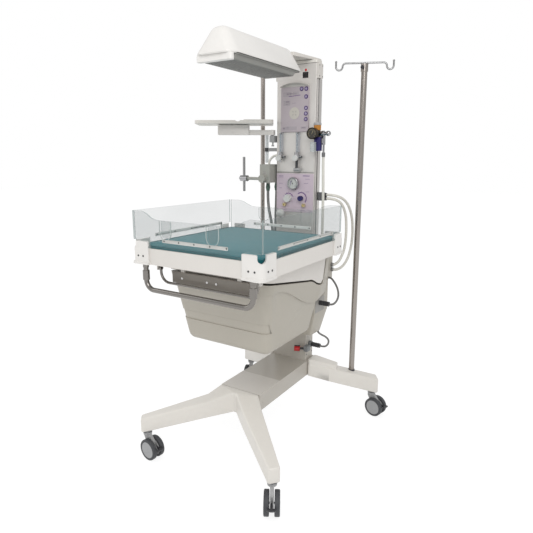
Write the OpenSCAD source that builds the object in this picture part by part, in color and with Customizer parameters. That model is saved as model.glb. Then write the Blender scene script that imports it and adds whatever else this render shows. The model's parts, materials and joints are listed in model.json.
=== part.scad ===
// Infant warmer: wheeled base, tilting bed with clear panels, service tower and radiant heater.
// Millimetres. X to the right seen from the foot of the bed, Y to the tower, Z up.
// The casters' heights are from the floor. All other heights are from a datum 19 mm under it.

/* [Base] */
// Half distance between the front caster stems
front_stem_x = 350; // [330:1:400]
// Distance from the origin forward to the front caster stems
front_stem_y = 460; // [430:1:490]
// Half distance between the rear caster stems
rear_stem_x = 407; // [390:1:440]
// Distance from the origin back to the rear caster stems
rear_stem_y = 513; // [490:1:550]
// Height of the leg undersides above the floor at the tips
leg_clear = 136; // [132:1:155]
// Depth of a front leg at its tip
front_tip_h = 68; // [60:1:85]
// Depth of a rear leg at its tip
rear_tip_h = 80; // [70:1:95]
// Half width of the base beam
beam_half_w = 111; // [104:1:120]
// Height of the base beam's underside
beam_z = 257; // [245:1:270]
// Depth of the base beam
beam_h = 82; // [70:1:95]
// Sheet thickness of the beam and the pedestal
sheet = 3; // [2:0.5:4]

/* [Casters] */
// Diameter of a wheel
wheel_d = 102; // [90:1:108]
// Width of one tyre
tyre_w = 22; // [16:1:24]
// Gap between the two wheels of a caster
wheel_gap = 22; // [20:1:28]
// Distance of the axle behind the kingpin
trail = 30; // [24:1:34]
// Radius of a wheel axle
axle_r = 4; // [3:0.5:5]
// Radius of a kingpin
kingpin_r = 6; // [5:0.5:8]

/* [Lower body] */
// Half width of the tub at its rim
tub_half_w = 262; // [250:1:275]
// Height of the tub's underside
tub_z = 592; // [570:1:610]
// Height of the tub and housing rim
rim_z = 955; // [945:1:960]
// Wall of the tub
tub_wall = 6; // [5:0.5:8]
// Height of the upper tub skin proud of the lower one
tub_step = 8; // [5:1:10]
// Gap between the tub rim and the pan under the bed
pan_gap = 9; // [5:0.5:12]
// Half width of the rear housing
housing_half_w = 200; // [190:1:210]

/* [Bed] */
// Half width over the clear side panels
bed_half_w = 328; // [318:1:335]
// Distance from the origin forward to the front panel's outer face
bed_front = 502; // [495:1:510]
// Distance from the origin back to the rear panel's outer face
bed_rear = 194; // [188:1:200]
// Height of the rail undersides
rail_z = 981; // [974:1:986]
// Depth of the rails
rail_h = 69.5; // [64:0.5:76]
// Thickness of the rails
rail_t = 8; // [6:1:9]
// Thickness of the mattress
mattress_h = 69; // [55:1:80]
// How far the mattress's middle stands over its edges
mattress_crown = 9; // [4:1:14]
// How far the corner caps stand proud of the rails
cap_proud = 6; // [5.5:0.5:7]
// Height of the cap lobes above the rails
cap_lobe_h = 28; // [24:1:32]
// Length of a cap along each rail
cap_len = 94; // [80:1:100]

/* [Panels] */
// Thickness of the clear panels
panel_t = 6; // [4:0.5:6]
// Height of the panels above the rails at the corners
panel_h = 156; // [130:1:180]
// How much lower the end panels are in the middle
panel_dip = 34; // [20:1:45]
// Width of a clip tab
tab_w = 62; // [50:1:70]
// Radius of the panel hinge pins
hinge_pin_r = 2; // [1.5:0.25:2.5]

/* [Handles] */
// Diameter of the front handle tube
handle_d = 22; // [18:1:26]
// Half distance between the handle's uprights
handle_half_w = 278; // [260:1:290]
// Diameter of the release bar
release_d = 12; // [10:1:14]
// Half distance between the release bar's uprights
release_half_w = 255; // [245:1:258]

/* [Tower] */
// Half width of the tower
tower_half_w = 112; // [106:1:116]
// Distance from the origin back to the tower's front face
tower_y = 321; // [315:1:325]
// Depth of the tower's wide front part
tower_d = 55; // [50:1:62]
// Depth of the narrower spine behind it
spine_d = 49; // [40:1:60]
// Height of the tower's top without its cap
tower_top = 1880; // [1860:1:1900]
// Thickness of the tower cap
cap_t = 13.5; // [12:0.5:16]

/* [Modules] */
// Height of the controller module
module_h = 220; // [205:1:230]
// How far the controller stands proud of the tower
module_t = 10; // [8:1:14]
// Radius of a control key
key_r = 10; // [8:0.5:12]
// Travel of a control key
key_travel = 1.2; // [0.8:0.1:1.5]
// Radius of the pressure gauge
gauge_r = 32; // [28:1:36]

/* [Heater] */
// Half width of the heater hood at its rim
hood_half_w = 98; // [88:1:104]
// Distance from the origin forward to the hood's front
hood_front = 361; // [345:1:375]
// Depth of the hood's lower rim below the tower's top
hood_drop = 60; // [50:1:75]
// Depth of the hood shell
hood_h = 109; // [98:1:120]
// Depth of the grille below the hood's rim
grille_drop = 25; // [15:1:30]

/* [Accessories] */
// Radius of the right-hand pole
iv_pole_r = 15; // [13:0.5:16]
// Radius of the left-hand pole
left_pole_r = 12; // [11.5:0.5:13.5]
// Height of the pole collar's top
pole_top = 1876; // [1850:1:1900]
// Radius of the hook rod
hook_rod_r = 8; // [6:0.5:9]
// Turn of the hooks' crossbar from side to side
crossbar_turn = 22; // [0:1:90]
// Length of the shelf tray
tray_l = 400; // [380:1:430]
// Width of the shelf tray
tray_w = 200; // [180:1:210]
// Rest angle of the shelf arm, seen from above
shelf_angle = 212; // [205:1:220]

/* [Hidden] */
$fn = 32;
// Radial clearance of a pin in its bore
fit = 0.05;

// How far the datum of the heights lies under the floor
datum = 19;
// Base
beam_front = -187;
beam_rear = 385;
beam_top = beam_z + beam_h;
pedestal_half_w = 100;
pedestal_y0 = 290;
pedestal_y1 = 373;
housing_z = 520;
split_y = 172;
post_r = 12;
leg_z = leg_clear + datum;
knee_at = 88;
// Casters: corner, stem place, heading of the trail seen from above
CASTERS = [[-front_stem_x, -front_stem_y, -6], [front_stem_x, -front_stem_y, -60],
    [-rear_stem_x, rear_stem_y, -70], [rear_stem_x, rear_stem_y, -12]];
wheel_r = wheel_d / 2;
pedal_x = trail + 28;
pedal_z = 64;
kingpin_len = 30;

// Bed: the hinge line of a panel is on its outer face, a little above the rail
rail_top = rail_z + rail_h;
rail_out_x = bed_half_w - 0.5;
rail_out_y = bed_front - 0.5;
hinge_z = rail_top + 5.5;
panel_z = rail_top + 1;
panel_top = rail_top + panel_h;
cap_out_x = bed_half_w + cap_proud;
cap_in_x = rail_out_x - rail_t;
cap_front = bed_front + cap_proud;
cap_rear = bed_rear + 14;
lobe_top = rail_top + cap_lobe_h;
rear_rail_y = bed_rear + 0.5;
deck_z = rail_z + 18;
deck_t = 6;
mattress_z = deck_z + deck_t + 0.3;
mattress_half_w = cap_in_x - 5;
mattress_front = -488;
mattress_rear = bed_rear - 10;
tilt_y = 125;
tilt_z = 935;
tilt_pin_r = 8;
handle_y = -487;
release_y = -420;
release_z = 950;

// Tower
tower_foot = rim_z;
tower_mid = tower_y + tower_d;
tower_back = tower_mid + spine_d;
spine_half_w = 88;
cap_top = tower_top + cap_t;
swivel_y = 372;
swivel_r = 14;
rail_y0 = 345;
rail_y1 = 377;
side_rail_t = 6;
rail_face = tower_half_w + side_rail_t;
module_x = [-82, 76];
module_top = tower_top - 105;
module_z = module_top - module_h;
module_y = tower_y - module_t;
panel_face_y = tower_y - 5;
KEYS = [for (k = [[36, 14], [62, 15], [62, 52], [62, 106], [62, 133], [62, 160]]) [k.x, module_top - k.y]];
FLOW_X = [-79, 19];
flow_y = tower_y - 18;
flow_top = module_z - 2;
flow_bottom = flow_top - 196;
flow_z = flow_top - 116;
flow_knob_z = flow_z - 13;
flow_knob_dx = 0;
resus_top = flow_bottom - 11;
port_z = resus_top - 162;
pressure_knob_at = [-34, resus_top - 128];
mixing_knob_at = [42, resus_top - 126];

// Heater
hood_rear = 190;
hood_z = tower_top - hood_drop;
hood_top = hood_z + hood_h;
arm_z = cap_top + 2.5;
grille_y0 = -322;

// Accessories
right_pole_x = 300;
left_pole_x = 292;
pole_y = 466;
pole_z = 225;
spigot_r = 11;
spigot_top = 285;
shelf_pivot = [-136, 314];
tray_reach = 195;
shelf_z = 1542;
tray_z = 1594;
holder_z = 1318;
regulator_at = [130, 308];

// Routes of the hoses and leads, points chosen by hand
HOSE_A = [[160, 322, 1451.7], [160, 322, 1400], [161, 324, 1330], [162, 327, 1250], [162, 329, 1160],
    [162, 330, 1070], [162, 330, 1000], [162, 330, 955.3]];
HOSE_B = [[165.3, 365, 1240], [184, 365, 1240], [204, 370, 1238], [220, 386, 1232], [231, 412, 1221],
    [238, 444, 1203], [242, 474, 1177], [244, 502, 1142], [245, 522, 1100], [245, 532, 1056],
    [245, 534, 1010], [244, 528, 965], [242, 514, 926], [239, 494, 893], [234, 468, 868],
    [227, 440, 852], [216, 418, 844], [202, 406, 842], [186.2, 406, 842]];
HOSE_C = [[165.3, 365, 1221], [182, 365, 1221], [200, 370, 1219], [213, 384, 1213], [222, 406, 1201],
    [226, 430, 1183], [228, 452, 1158], [229, 470, 1126], [229, 480, 1090], [229, 484, 1050],
    [229, 483, 1010], [228, 478, 972], [226, 468, 938], [222, 452, 911], [217, 436, 890],
    [210, 420, 877], [201, 408, 870], [193, 404, 868], [186.2, 404, 868]];
HOSE_D = [[-152, 300, 1289.7], [-152, 300, 1262], [-151, 298, 1228], [-146, 294, 1188],
    [-136, 288, 1146], [-122, 282, 1104], [-110, 278, 1060], [-103, 277, 1014], [-100, 277, 985],
    [-100, 277, 955.3]];
HOSE_E = [[-130, 352, 1289.7], [-130, 352, 1250], [-131, 351, 1190], [-132, 349, 1120],
    [-132, 347, 1050], [-131, 346, 1000], [-131, 346, 955.3]];
HOSE_F = [[-92.5, 303, 1437], [-106, 303, 1437], [-119, 302, 1433.5], [-131, 301, 1425],
    [-140, 300, 1414], [-145, 300, 1404], [-145, 300, 1392.3]];
LEAD_UP = [[258.8, 232, 702], [268, 232, 702], [279, 236, 705], [286, 246, 712], [289, 261, 723],
    [286, 280, 738], [277, 298, 753], [264, 315, 768], [247, 331, 782], [229, 345, 794],
    [212, 356, 803], [199, 361, 806], [186.2, 361, 806]];
LEAD_LOW = [[165.3, 334, 425], [182, 334, 425], [196, 336, 428], [206, 340, 437], [211, 343, 450],
    [210, 343, 464], [202, 340, 476], [190, 335, 485], [177, 329, 492], [166, 324, 499],
    [159, 320.5, 507], [158, 320, 513], [158, 320, 519.7]];
gas_hose_r = 7;
dark_hose_r = 7.5;
clear_hose_r = 6;
lead_r = 5;

function arc_pts(c, r, a0, a1, n = 6) = [for (i = [0:n]) c + r * [cos(a0 + (a1 - a0) * i / n),
    sin(a0 + (a1 - a0) * i / n)]];
function rounded(w, d, r, n = 5) = concat(
    arc_pts([w / 2 - r, d / 2 - r], r, 0, 90, n), arc_pts([r - w / 2, d / 2 - r], r, 90, 180, n),
    arc_pts([r - w / 2, r - d / 2], r, 180, 270, n), arc_pts([w / 2 - r, r - d / 2], r, 270, 360, n));
function blend(t) = (1 - cos(180 * min(1, max(0, t)))) / 2;
function unit(v) = v / norm(v);
function heading(p, i) = unit(p[min(i + 1, len(p) - 1)] - p[max(i - 1, 0)]);
function ring(p, i, r, ref, n) = let (t = heading(p, i), u = unit(cross(t, ref)), v = cross(t, u))
    [for (k = [0:n - 1]) p[i] + r * (cos(360 * k / n) * u + sin(360 * k / n) * v)];
// Height of the tub rim under the side of the pan, falling to the rear
function rim_at(y) = y < 0 ? 868 - 0.165 * y : 868 - 42 * blend(y / 135);
// Height of the swept step in the tub's side
function sweep_at(y) = 750 + 132 * (1 - blend((y + 300) / 390));

// Box with rounded upright edges between two corners
module slab(lo, hi, r = 2) {
    translate([(lo.x + hi.x) / 2, (lo.y + hi.y) / 2, lo.z])
        linear_extrude(hi.z - lo.z) polygon(rounded(hi.x - lo.x, hi.y - lo.y, r));
}

// Box between two corners whose edges along Y are rounded
module face(lo, hi, r = 4) {
    translate([(lo.x + hi.x) / 2, hi.y, (lo.z + hi.z) / 2]) rotate([90, 0, 0])
        linear_extrude(hi.y - lo.y) polygon(rounded(hi.x - lo.x, hi.z - lo.z, r));
}

module brick(lo, hi) translate(lo) cube(hi - lo);

// Round bar from one point, along an axis
module bar_x(at, r, l) translate(at) rotate([0, 90, 0]) cylinder(r = r, h = l);
module bar_y(at, r, l) translate(at) rotate([-90, 0, 0]) cylinder(r = r, h = l);
module bar_z(at, r, l) translate(at) cylinder(r = r, h = l);

// Post with a rounded top edge, used inside hulls
module post(at, z0, z1, r = post_r, edge = 9) translate([at.x, at.y, z0])
    rotate_extrude($fn = 24) polygon(concat([[0, 0], [r - 2, 0], [r, 2]],
        arc_pts([r - edge, z1 - z0 - edge], edge, 0, 90, 3), [[0, z1 - z0]]));

// Tube swept through the route's points
module cord(p, r, ref = [1, 0, 0], n = 8) {
    rings = [for (i = [0:len(p) - 1]) ring(p, i, r, ref, n)];
    last = (len(p) - 1) * n;
    polyhedron(points = [for (q = rings) each q],
        faces = concat([[for (k = [0:n - 1]) k]],
            [for (i = [0:len(p) - 2], k = [0:n - 1]) let (a = i * n + k, b = i * n + (k + 1) % n)
                each [[a, a + n, b], [b, a + n, b + n]]],
            [[for (k = [n - 1:-1:0]) last + k]]));
}

// Heights inside are from the datum
module from_datum() translate([0, 0, -datum]) children();

module screw_y(at, r = 4, out = 1.5) bar_y([at.x, at.y - out, at.z], r, out);

// Base

module base_beam() color([0.66, 0.64, 0.60]) from_datum() {
    half = beam_half_w;
    difference() {
        brick([-half, beam_front, beam_z], [half, beam_rear, beam_top]);
        for (side = [-1, 1], i = [0:3]) {
            cell = (beam_rear - beam_front - 5 * sheet) / 4;
            y0 = beam_front + sheet + i * (cell + sheet);
            x0 = side < 0 ? sheet - half : sheet / 2;
            brick([x0, y0, beam_z - 1], [x0 + half - 1.5 * sheet, y0 + cell, beam_top - sheet]);
        }
    }
    for (side = [-1, 1], p = [[beam_front + 12, beam_top - 12], [beam_front + 30, beam_top - 48]])
        bar_x([side * half - (side < 0 ? 1.5 : 0), p.x, p.y], 4, 1.5);
    // Cover plate on the front half
    brick([-half, beam_front, beam_top], [half, 0, beam_top + 1]);
}

// One arm of the base: level from its root edge to a knee, then falling to the caster
module leg_hull(root_a, root_b, stem, root_z, knee_z, tip_half, tip_h) {
    mid = (root_a + root_b) / 2;
    d = unit(stem - mid);
    n = [-d.y, d.x];
    knee_half = (norm(root_a - root_b) + tip_half) / 3;
    module knee() for (s = [-1, 1]) post(mid + d * knee_at + n * knee_half * s, knee_z[0], knee_z[1]);
    hull() {
        for (q = [root_a, root_b]) post(q, root_z[0], root_z[1]);
        knee();
    }
    hull() {
        knee();
        for (s = [-1, 1]) post(stem + d * 16 + n * tip_half * s, leg_z, leg_z + tip_h);
    }
}

module front_legs() color([0.91, 0.90, 0.88]) from_datum() for (s = [0, 1]) mirror([s, 0, 0]) {
    root_y = beam_front - post_r;
    half = beam_half_w - post_r;
    difference() {
        union() {
            leg_hull([half, root_y], [14, root_y - 22], [front_stem_x, -front_stem_y],
                [beam_z - 15, beam_top + 3], [beam_z - 35, beam_top - 39], 15, front_tip_h);
            hull() {
                post([half, root_y], beam_z - 15, beam_top + 3);
                post([14, root_y - 22], beam_z - 15, beam_top + 3);
                post([-14, root_y], beam_z - 15, beam_top + 3);
                post([-14, root_y - 22], beam_z - 15, beam_top + 3);
            }
        }
        brick([-60, -500, 0], [0.3, 0, 500]);
        bar_z([front_stem_x, -front_stem_y, leg_z - 1], kingpin_r + fit, kingpin_len + 2);
    }
}

module rear_legs() color([0.90, 0.89, 0.87]) from_datum() for (s = [0, 1]) mirror([s, 0, 0]) {
    root_x = beam_half_w + post_r;
    difference() {
        union() {
            leg_hull([root_x, 302], [root_x, 366], [rear_stem_x, rear_stem_y],
                [beam_z - 3, beam_top - 18], [beam_z - 32, beam_top - 39], 25, rear_tip_h);
            hull() {
                for (y = [306, 366]) post([root_x, y], beam_top - 60, beam_top + 10, edge = 6);
                for (q = [[235, 380], [226, 412]]) post(q, beam_top - 70, beam_top - 24, edge = 6);
            }
        }
        bar_z([rear_stem_x, rear_stem_y, leg_z - 1], kingpin_r + fit, kingpin_len + 2);
        if (s == 0) bar_z([right_pole_x, pole_y, pole_z], iv_pole_r, 300);
        else bar_z([left_pole_x, pole_y, pole_z], spigot_r, 300);
    }
}

module pedestal() color([0.68, 0.66, 0.62]) from_datum() {
    half = pedestal_half_w;
    difference() {
        slab([-half, pedestal_y0, beam_top], [half, pedestal_y1, housing_z], 3);
        for (x0 = [sheet - half, sheet / 2])
            brick([x0, pedestal_y0 + sheet, beam_top - 1],
                [x0 + half - 1.5 * sheet, pedestal_y1 - sheet, housing_z + 1]);
        brick([half - 1, pedestal_y0 + 24, beam_top + 12], [half + 1, pedestal_y0 + 28, housing_z - 12]);
    }
}

// Casters: built at the stem with the trail along +X, then set in place

module set_caster(i) translate([CASTERS[i].x, CASTERS[i].y, 0]) rotate(CASTERS[i].z) children();

module caster_fork(i) color([0.72, 0.71, 0.70]) set_caster(i) {
    web = wheel_gap / 2 - 3;
    bar_z([0, 0, leg_clear - 5], kingpin_r, kingpin_len + 4);
    bar_z([0, 0, leg_clear - 3], 16, 2.6);
    difference() {
        union() {
            bar_z([0, 0, leg_clear - 22], 20, 19);
            translate([0, web, 0]) rotate([90, 0, 0]) linear_extrude(2 * web) polygon(concat(
                [[-19, leg_clear - 4], [-19, 104]], arc_pts([trail, wheel_r], 20, 200, 290, 5),
                arc_pts([trail, wheel_r], 42, -20, 25, 4), arc_pts([trail, wheel_r], 40, 40, 70, 4),
                [[20, leg_clear - 20], [19, leg_clear - 4]]));
        }
        bar_y([trail, -web - 1, wheel_r], axle_r + fit, 2 * web + 2);
        bar_y([pedal_x, -web - 1, pedal_z], 2.5 + fit, 2 * web + 2);
        brick([trail + 16, -4.5, wheel_r - 12], [trail + 60, 4.5, 92]);
    }
}

module caster_wheels(i) color([0.32, 0.32, 0.34]) set_caster(i) {
    inner = wheel_gap / 2;
    bar_y([trail, -inner - 4, wheel_r], axle_r, wheel_gap + 8);
    for (s = [-1, 1]) translate([trail, s * inner, wheel_r]) rotate([-90 * s, 0, 0]) difference() {
        rotate_extrude($fn = 48) polygon([[axle_r, 3], [16, 3], [18, 1], [38, 1], [39, 0],
            [wheel_r - 3, 0], [wheel_r - 0.8, 1], [wheel_r, 3], [wheel_r, tyre_w - 4],
            [wheel_r - 1, tyre_w - 1.5], [wheel_r - 4, tyre_w], [40, tyre_w], [39, tyre_w - 1.5],
            [24, tyre_w - 0.5], [axle_r, tyre_w - 0.2]]);
    }
    for (s = [-1, 1]) bar_y([trail, s > 0 ? inner + 4 : -inner - tyre_w + 0.2, wheel_r],
        axle_r, tyre_w - 4.2);
}

module brake_pedal(i) color([0.24, 0.24, 0.26]) set_caster(i) {
    bar_y([pedal_x, -7, pedal_z], 2.5, 14);
    difference() {
        translate([0, 4, 0]) rotate([90, 0, 0]) linear_extrude(8) polygon(concat(
            arc_pts([pedal_x, pedal_z], 6, 90, 270, 6),
            [[trail + wheel_r + 4, pedal_z - 4], [trail + wheel_r + 6, pedal_z + 4]]));
        bar_y([pedal_x, -5, pedal_z], 2.4, 10);
    }
    bar_y([pedal_x, -4, pedal_z], 2.5, 8);
    hull() {
        slab([trail + wheel_r + 3, -19, pedal_z - 5], [trail + wheel_r + 14, 19, pedal_z - 1], 3);
        slab([trail + wheel_r + 4, -17, pedal_z - 1], [trail + wheel_r + 18, 17, pedal_z + 4], 3);
    }
}

// Lower body

module tub_form(grow, top = rim_z) {
    r = 40 + grow;
    hull() {
        for (s = [-1, 1]) {
            translate([s * (tub_half_w - 72), -262, tub_z + 40]) sphere(r = r);
            translate([s * (tub_half_w - 72), 60, tub_z + 40]) sphere(r = r);
            bar_z([s * (tub_half_w - 45), -327, rim_z - 5], 45 + grow, 5 + top - rim_z);
            bar_z([s * (tub_half_w - 30), 180, rim_z - 5], 30 + grow, 5 + top - rim_z);
        }
    }
}

// Everything above a curve in the YZ plane, across the whole width
module above(curve_z, y0, y1, step, lift) translate([-400, 0, 0]) rotate([90, 0, 90])
    linear_extrude(800) polygon(concat([for (y = [y0:step:y1]) [y, curve_z(y) + lift]],
        [[y1, 1100], [y0, 1100]]));

// Upper skin, which runs on from the tub across the side of the housing
module skin_form(grow, z0 = 752) hull() {
    tub_form(grow, rim_z + (grow < 0 ? 20 : 0));
    for (s = [-1, 1]) bar_z([s * (housing_half_w - 10), 295, z0], 7 + grow, rim_z - z0);
}

module tub_shell() color([0.68, 0.66, 0.60]) from_datum() difference() {
    union() {
        tub_form(0);
        intersection() {
            skin_form(tub_step);
            above(function(y) sweep_at(y), -440, 400, 20, 0);
        }
    }
    tub_form(-tub_wall, rim_z + 20);
    intersection() {
        skin_form(-tub_wall);
        brick([-400, 0, 756], [400, 400, 1000]);
    }
    above(function(y) rim_at(y), -440, 160, 15, 0);
    brick([-410, -450, rim_z], [410, 400, rim_z + 60]);
    brick([-410, split_y, 500], [410, 400, 1000]);
    // Shallow band across the front
    difference() {
        intersection() {
            brick([-270, -420, 700], [236, -240, 744]);
            tub_form(2);
        }
        tub_form(-3.5);
    }
}

module rear_housing() color([0.69, 0.67, 0.61]) from_datum() {
    half = housing_half_w;
    difference() {
        union() {
            hull() {
                slab([-half, split_y, rim_z - 6], [half, 338, rim_z], 3);
                slab([-half, split_y, 700], [half, 338, 704], 3);
                slab([-half, 186, 650], [half, 338, 654], 3);
                slab([-half + 34, 215, housing_z], [half - 34, 330, housing_z + 3], 10);
            }
            hull() {
                slab([15 - half, 330, 796], [half - 15, 424, rim_z], 8);
                slab([45 - half, 330, 786], [half - 45, 395, 790], 8);
            }
            intersection() {
                skin_form(tub_step);
                brick([-400, split_y + 0.5, sweep_at(200)], [400, 400, rim_z]);
            }
        }
        for (x0 = [8 - half, 4]) brick([x0, split_y + 8, 664], [x0 + half - 12, 330, 930]);
        // Slit in each side
        for (s = [-1, 1]) brick([s * 262 - 30, 198, 808], [s * 262 + 30, 200.5, 865]);
    }
    brick([half, 192, 652], [half + 1.5, 296, 728]);
    bar_x([half + 1.5, 232, 702], 15, 3);
}

module tilt_bracket() color([0.45, 0.45, 0.46]) from_datum() {
    slab([-190, 152, 912], [190, split_y, 950], 2);
    for (s = [-1, 1]) {
        hull() {
            brick([s * 186 - 4, 150, 912], [s * 186 + 4, 154, 950]);
            bar_x([s * 186 - 4, tilt_y, tilt_z], 15, 8);
        }
        bar_x([s > 0 ? 190 : -205, tilt_y, tilt_z], tilt_pin_r, 15);
    }
}

// Bed

module rails() {
    y0 = -bed_front + 0.5;
    side_l = cap_rear - cap_len;
    for (s = [-1, 1]) slab([s > 0 ? cap_in_x : -rail_out_x, cap_len - cap_front, rail_z],
        [s > 0 ? rail_out_x : -cap_in_x, side_l, rail_top], 1.5);
    slab([cap_len - cap_out_x, y0, rail_z], [cap_out_x - cap_len, y0 + rail_t, rail_top], 1.5);
    slab([cap_len - cap_out_x, rear_rail_y, rail_z],
        [cap_out_x - cap_len, rear_rail_y + rail_t, rail_top], 1.5);
}

module pan() difference() {
    intersection() {
        tub_form(tub_step, rail_z);
        above(function(y) rim_at(y), -440, 160 - pan_gap, 14, pan_gap);
        brick([-400, -450, 700], [400, 160 - pan_gap, rail_z]);
    }
    tub_form(tub_step - tub_wall, rail_z + 20);
    bar_x([-400, 160 - pan_gap, 832], 18, 800);
}

module bed_frame() color([0.82, 0.79, 0.75]) from_datum() difference() {
    union() {
        rails();
        brick([-cap_in_x, rail_t - rail_out_y, deck_z], [cap_in_x, rear_rail_y, deck_z + deck_t]);
        pan();
        for (s = [-1, 1]) {
            // Flange that carries the pan, tilt ears, release bar lugs and handle seats
            brick([s > 0 ? 232 : -276, -372, rail_z], [s > 0 ? 276 : -232, 150, deck_z]);
            brick([s > 0 ? 191 : -201, 104, tilt_z - 17], [s > 0 ? 201 : -191, 146, deck_z]);
            brick([s > 0 ? release_half_w + 9 : -release_half_w - 16, release_y - 9, release_z - 9],
                [s > 0 ? release_half_w + 16 : -release_half_w - 9, release_y + 9, deck_z]);
            slab([s * handle_half_w - 17, rail_t - rail_out_y, rail_z - 4],
                [s * handle_half_w + 17, -468, deck_z], 2);
        }
        brick([-232, -372, rail_z], [232, -352, deck_z]);
        face([-206, -402, 889], [206, -384, 938], 2);
        for (x = [-160, 140]) brick([x, -398, 938], [x + 20, -384, deck_z]);
        for (x = [-150, -12, 37]) screw_y([x, -402, 912], 5);
    }
    bar_x([-202, tilt_y, tilt_z], tilt_pin_r + fit, 404);
    for (s = [-1, 1]) bar_x([s > 0 ? release_half_w + 8 : -release_half_w - 17, release_y, release_z],
        3 + fit, 9);
}

// One cap built at the right front corner; the notch leaves a lobe on each side
module cap_shape(rear) {
    ox = cap_out_x;
    oy = rear ? cap_rear : cap_front;
    depth = oy - (rear ? rear_rail_y : rail_out_y - rail_t);
    corner = [ox, -oy];
    module wall(z0, z1, flare) difference() {
        translate([0, 0, z0]) linear_extrude(z1 - z0) polygon(concat(
            [[ox - cap_len, -oy - flare]], arc_pts([ox - 24, 24 - oy - flare], 24 + flare, 270, 360, 5),
            [[ox + flare, cap_len - oy], [ox - cap_len, cap_len - oy]]));
        brick([0, depth - oy, z0 - 1], [cap_in_x, 300, z1 + 1]);
    }
    difference() {
        union() {
            wall(rail_z - 1, rail_top, 0);
            wall(rail_z - 1, rail_z + 8, 4);
            wall(rail_top, lobe_top, 0);
        }
        hull() for (z = [rail_top + 14, rail_top + 60])
            translate([ox - 22, 22 - oy, z]) rotate([-90, 0, 45]) translate([0, 0, -60])
                cylinder(r = 17, h = 120);
        bar_x([ox - cap_len - 1, -bed_front, hinge_z], hinge_pin_r + fit, 12);
        bar_y([bed_half_w, cap_len - oy - 11, hinge_z], hinge_pin_r + fit, 12);
    }
}

module corner_caps() color([0.93, 0.92, 0.90]) from_datum() for (s = [0, 1]) mirror([s, 0, 0]) {
    cap_shape(false);
    mirror([0, 1, 0]) cap_shape(true);
}

// One outline of the mattress, drawn in from its full size, as points at a height
function mattress_ring(inset, z) = let (w = 2 * mattress_half_w - 2 * inset,
    d = mattress_rear - mattress_front - 2 * inset, r = min(20 + 0.3 * inset, w / 2 - 1))
    [for (q = rounded(w, d, r, 5)) [q.x, q.y + (mattress_front + mattress_rear) / 2, z]];
// Height of the top over its edge at a distance in from the side
function crown_at(inset) = mattress_crown * (1 - pow(1 - inset / mattress_half_w, 3));

// Foam block: sides drawn in between the two seams, top crowned
module mattress() color([0.27, 0.52, 0.54]) from_datum() {
    seam = mattress_z + mattress_h - mattress_crown - 5;
    mid = (mattress_z + seam) / 2;
    sides = [[14, mattress_z], [5, mattress_z + 3], [1, mattress_z + 8], [3, mid - 8], [5, mid],
        [3, mid + 8], [0, seam - 4], [1, seam + 1], [6, seam + 5]];
    top = [for (inset = [14, 28, 50, 80, 120, 170, 230, 290]) [inset, seam + 5 + crown_at(inset)]];
    rings = [for (q = concat(sides, top)) mattress_ring(q.x, q.y)];
    n = len(rings[0]);
    last = (len(rings) - 1) * n;
    polyhedron(points = [for (q = rings) each q],
        faces = concat([[for (k = [0:n - 1]) k]],
            [for (i = [0:len(rings) - 2], k = [0:n - 1]) let (a = i * n + k, b = i * n + (k + 1) % n)
                each [[a, a + n, b], [b, a + n, b + n]]],
            [[for (k = [n - 1:-1:0]) last + k]]));
}

function panel_edge(half, dip, from, to) = [for (i = [-12:12]) let (x = half * i / 12)
    [x, panel_top - dip * (1 - blend((abs(x) - from) / (to - from)))]];

// Clear sheet with cut-away lower corners: outline in its own plane, hinge line at the origin
module panel_sheet(low_a, low_b, top_pts) {
    a = top_pts[0].x;
    b = top_pts[len(top_pts) - 1].x;
    z1 = lobe_top + 5;
    r = 8;
    linear_extrude(panel_t) polygon(concat([[low_a, panel_z], [low_b, panel_z]],
        low_b < b ? concat(arc_pts([low_b + r, z1 - r], r, 180, 90, 4), [[b, z1]]) : [],
        [for (i = [len(top_pts) - 1:-1:0]) top_pts[i]],
        low_a > a ? concat([[a, z1]], arc_pts([low_a - r, z1 - r], r, 90, 0, 4)) : []));
}

module tab(x, z_low, z_top) difference() {
    hull() {
        translate([x, z_low + tab_w / 2, 0]) cylinder(r = tab_w / 2, h = 5);
        translate([x - tab_w / 2, z_top - 10, 0]) cube([tab_w, 10, 5]);
    }
    hull() {
        translate([x, z_low + tab_w / 2, 3]) cylinder(r = tab_w / 2 - 9, h = 5);
        translate([x - tab_w / 2 + 9, z_top - 12, 3]) cube([tab_w - 18, 20, 5]);
    }
}

module strip(x0, x1) {
    z0 = rail_top + 30;
    translate([x0, z0, panel_t]) cube([x1 - x0, 14, 3]);
    for (i = [0:4]) translate([x0 + 8 + (x1 - x0 - 16) * i / 4, z0 + 7, panel_t + 3])
        cylinder(r = 3.5, h = 1.2);
}

// Ears and pins at the two ends of a panel's hinge line
module hinge_ears(low_a, low_b) for (q = [[low_a, 1], [low_b, -1]]) {
    translate([q.x, hinge_z, 0]) rotate([0, 90 * q.y, 0]) cylinder(r = 4.5, h = 12);
    translate([q.x - 8 * q.y, hinge_z, 0]) rotate([0, 90 * q.y, 0]) cylinder(r = hinge_pin_r, h = 9);
}

// Stand a sheet up: its plane's X stays, its Y becomes Z, its thickness goes inward along +Y
module stand() rotate([90, 0, 0]) mirror([0, 0, 1]) children();

module panel_front() color([0.75, 0.82, 0.82, 0.35]) from_datum() translate([0, -bed_front, 0]) stand() {
    low = cap_out_x - cap_len - 2;
    panel_sheet(-low, low, panel_edge(bed_half_w, panel_dip, 195, 275));
    hinge_ears(-low, low);
    strip(-168, 168);
    for (x = [-140, 104]) translate([0, 0, -5]) tab(x, rail_top + 42, panel_top - panel_dip);
}

module side_panel() {
    low_a = cap_len - cap_front + 2;
    low_b = cap_rear - cap_len - 2;
    panel_sheet(low_a, low_b, [[panel_t + 1 - bed_front, panel_top], [bed_rear - panel_t - 1, panel_top]]);
    hinge_ears(low_a, low_b);
    strip(-380, 110);
}

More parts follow.
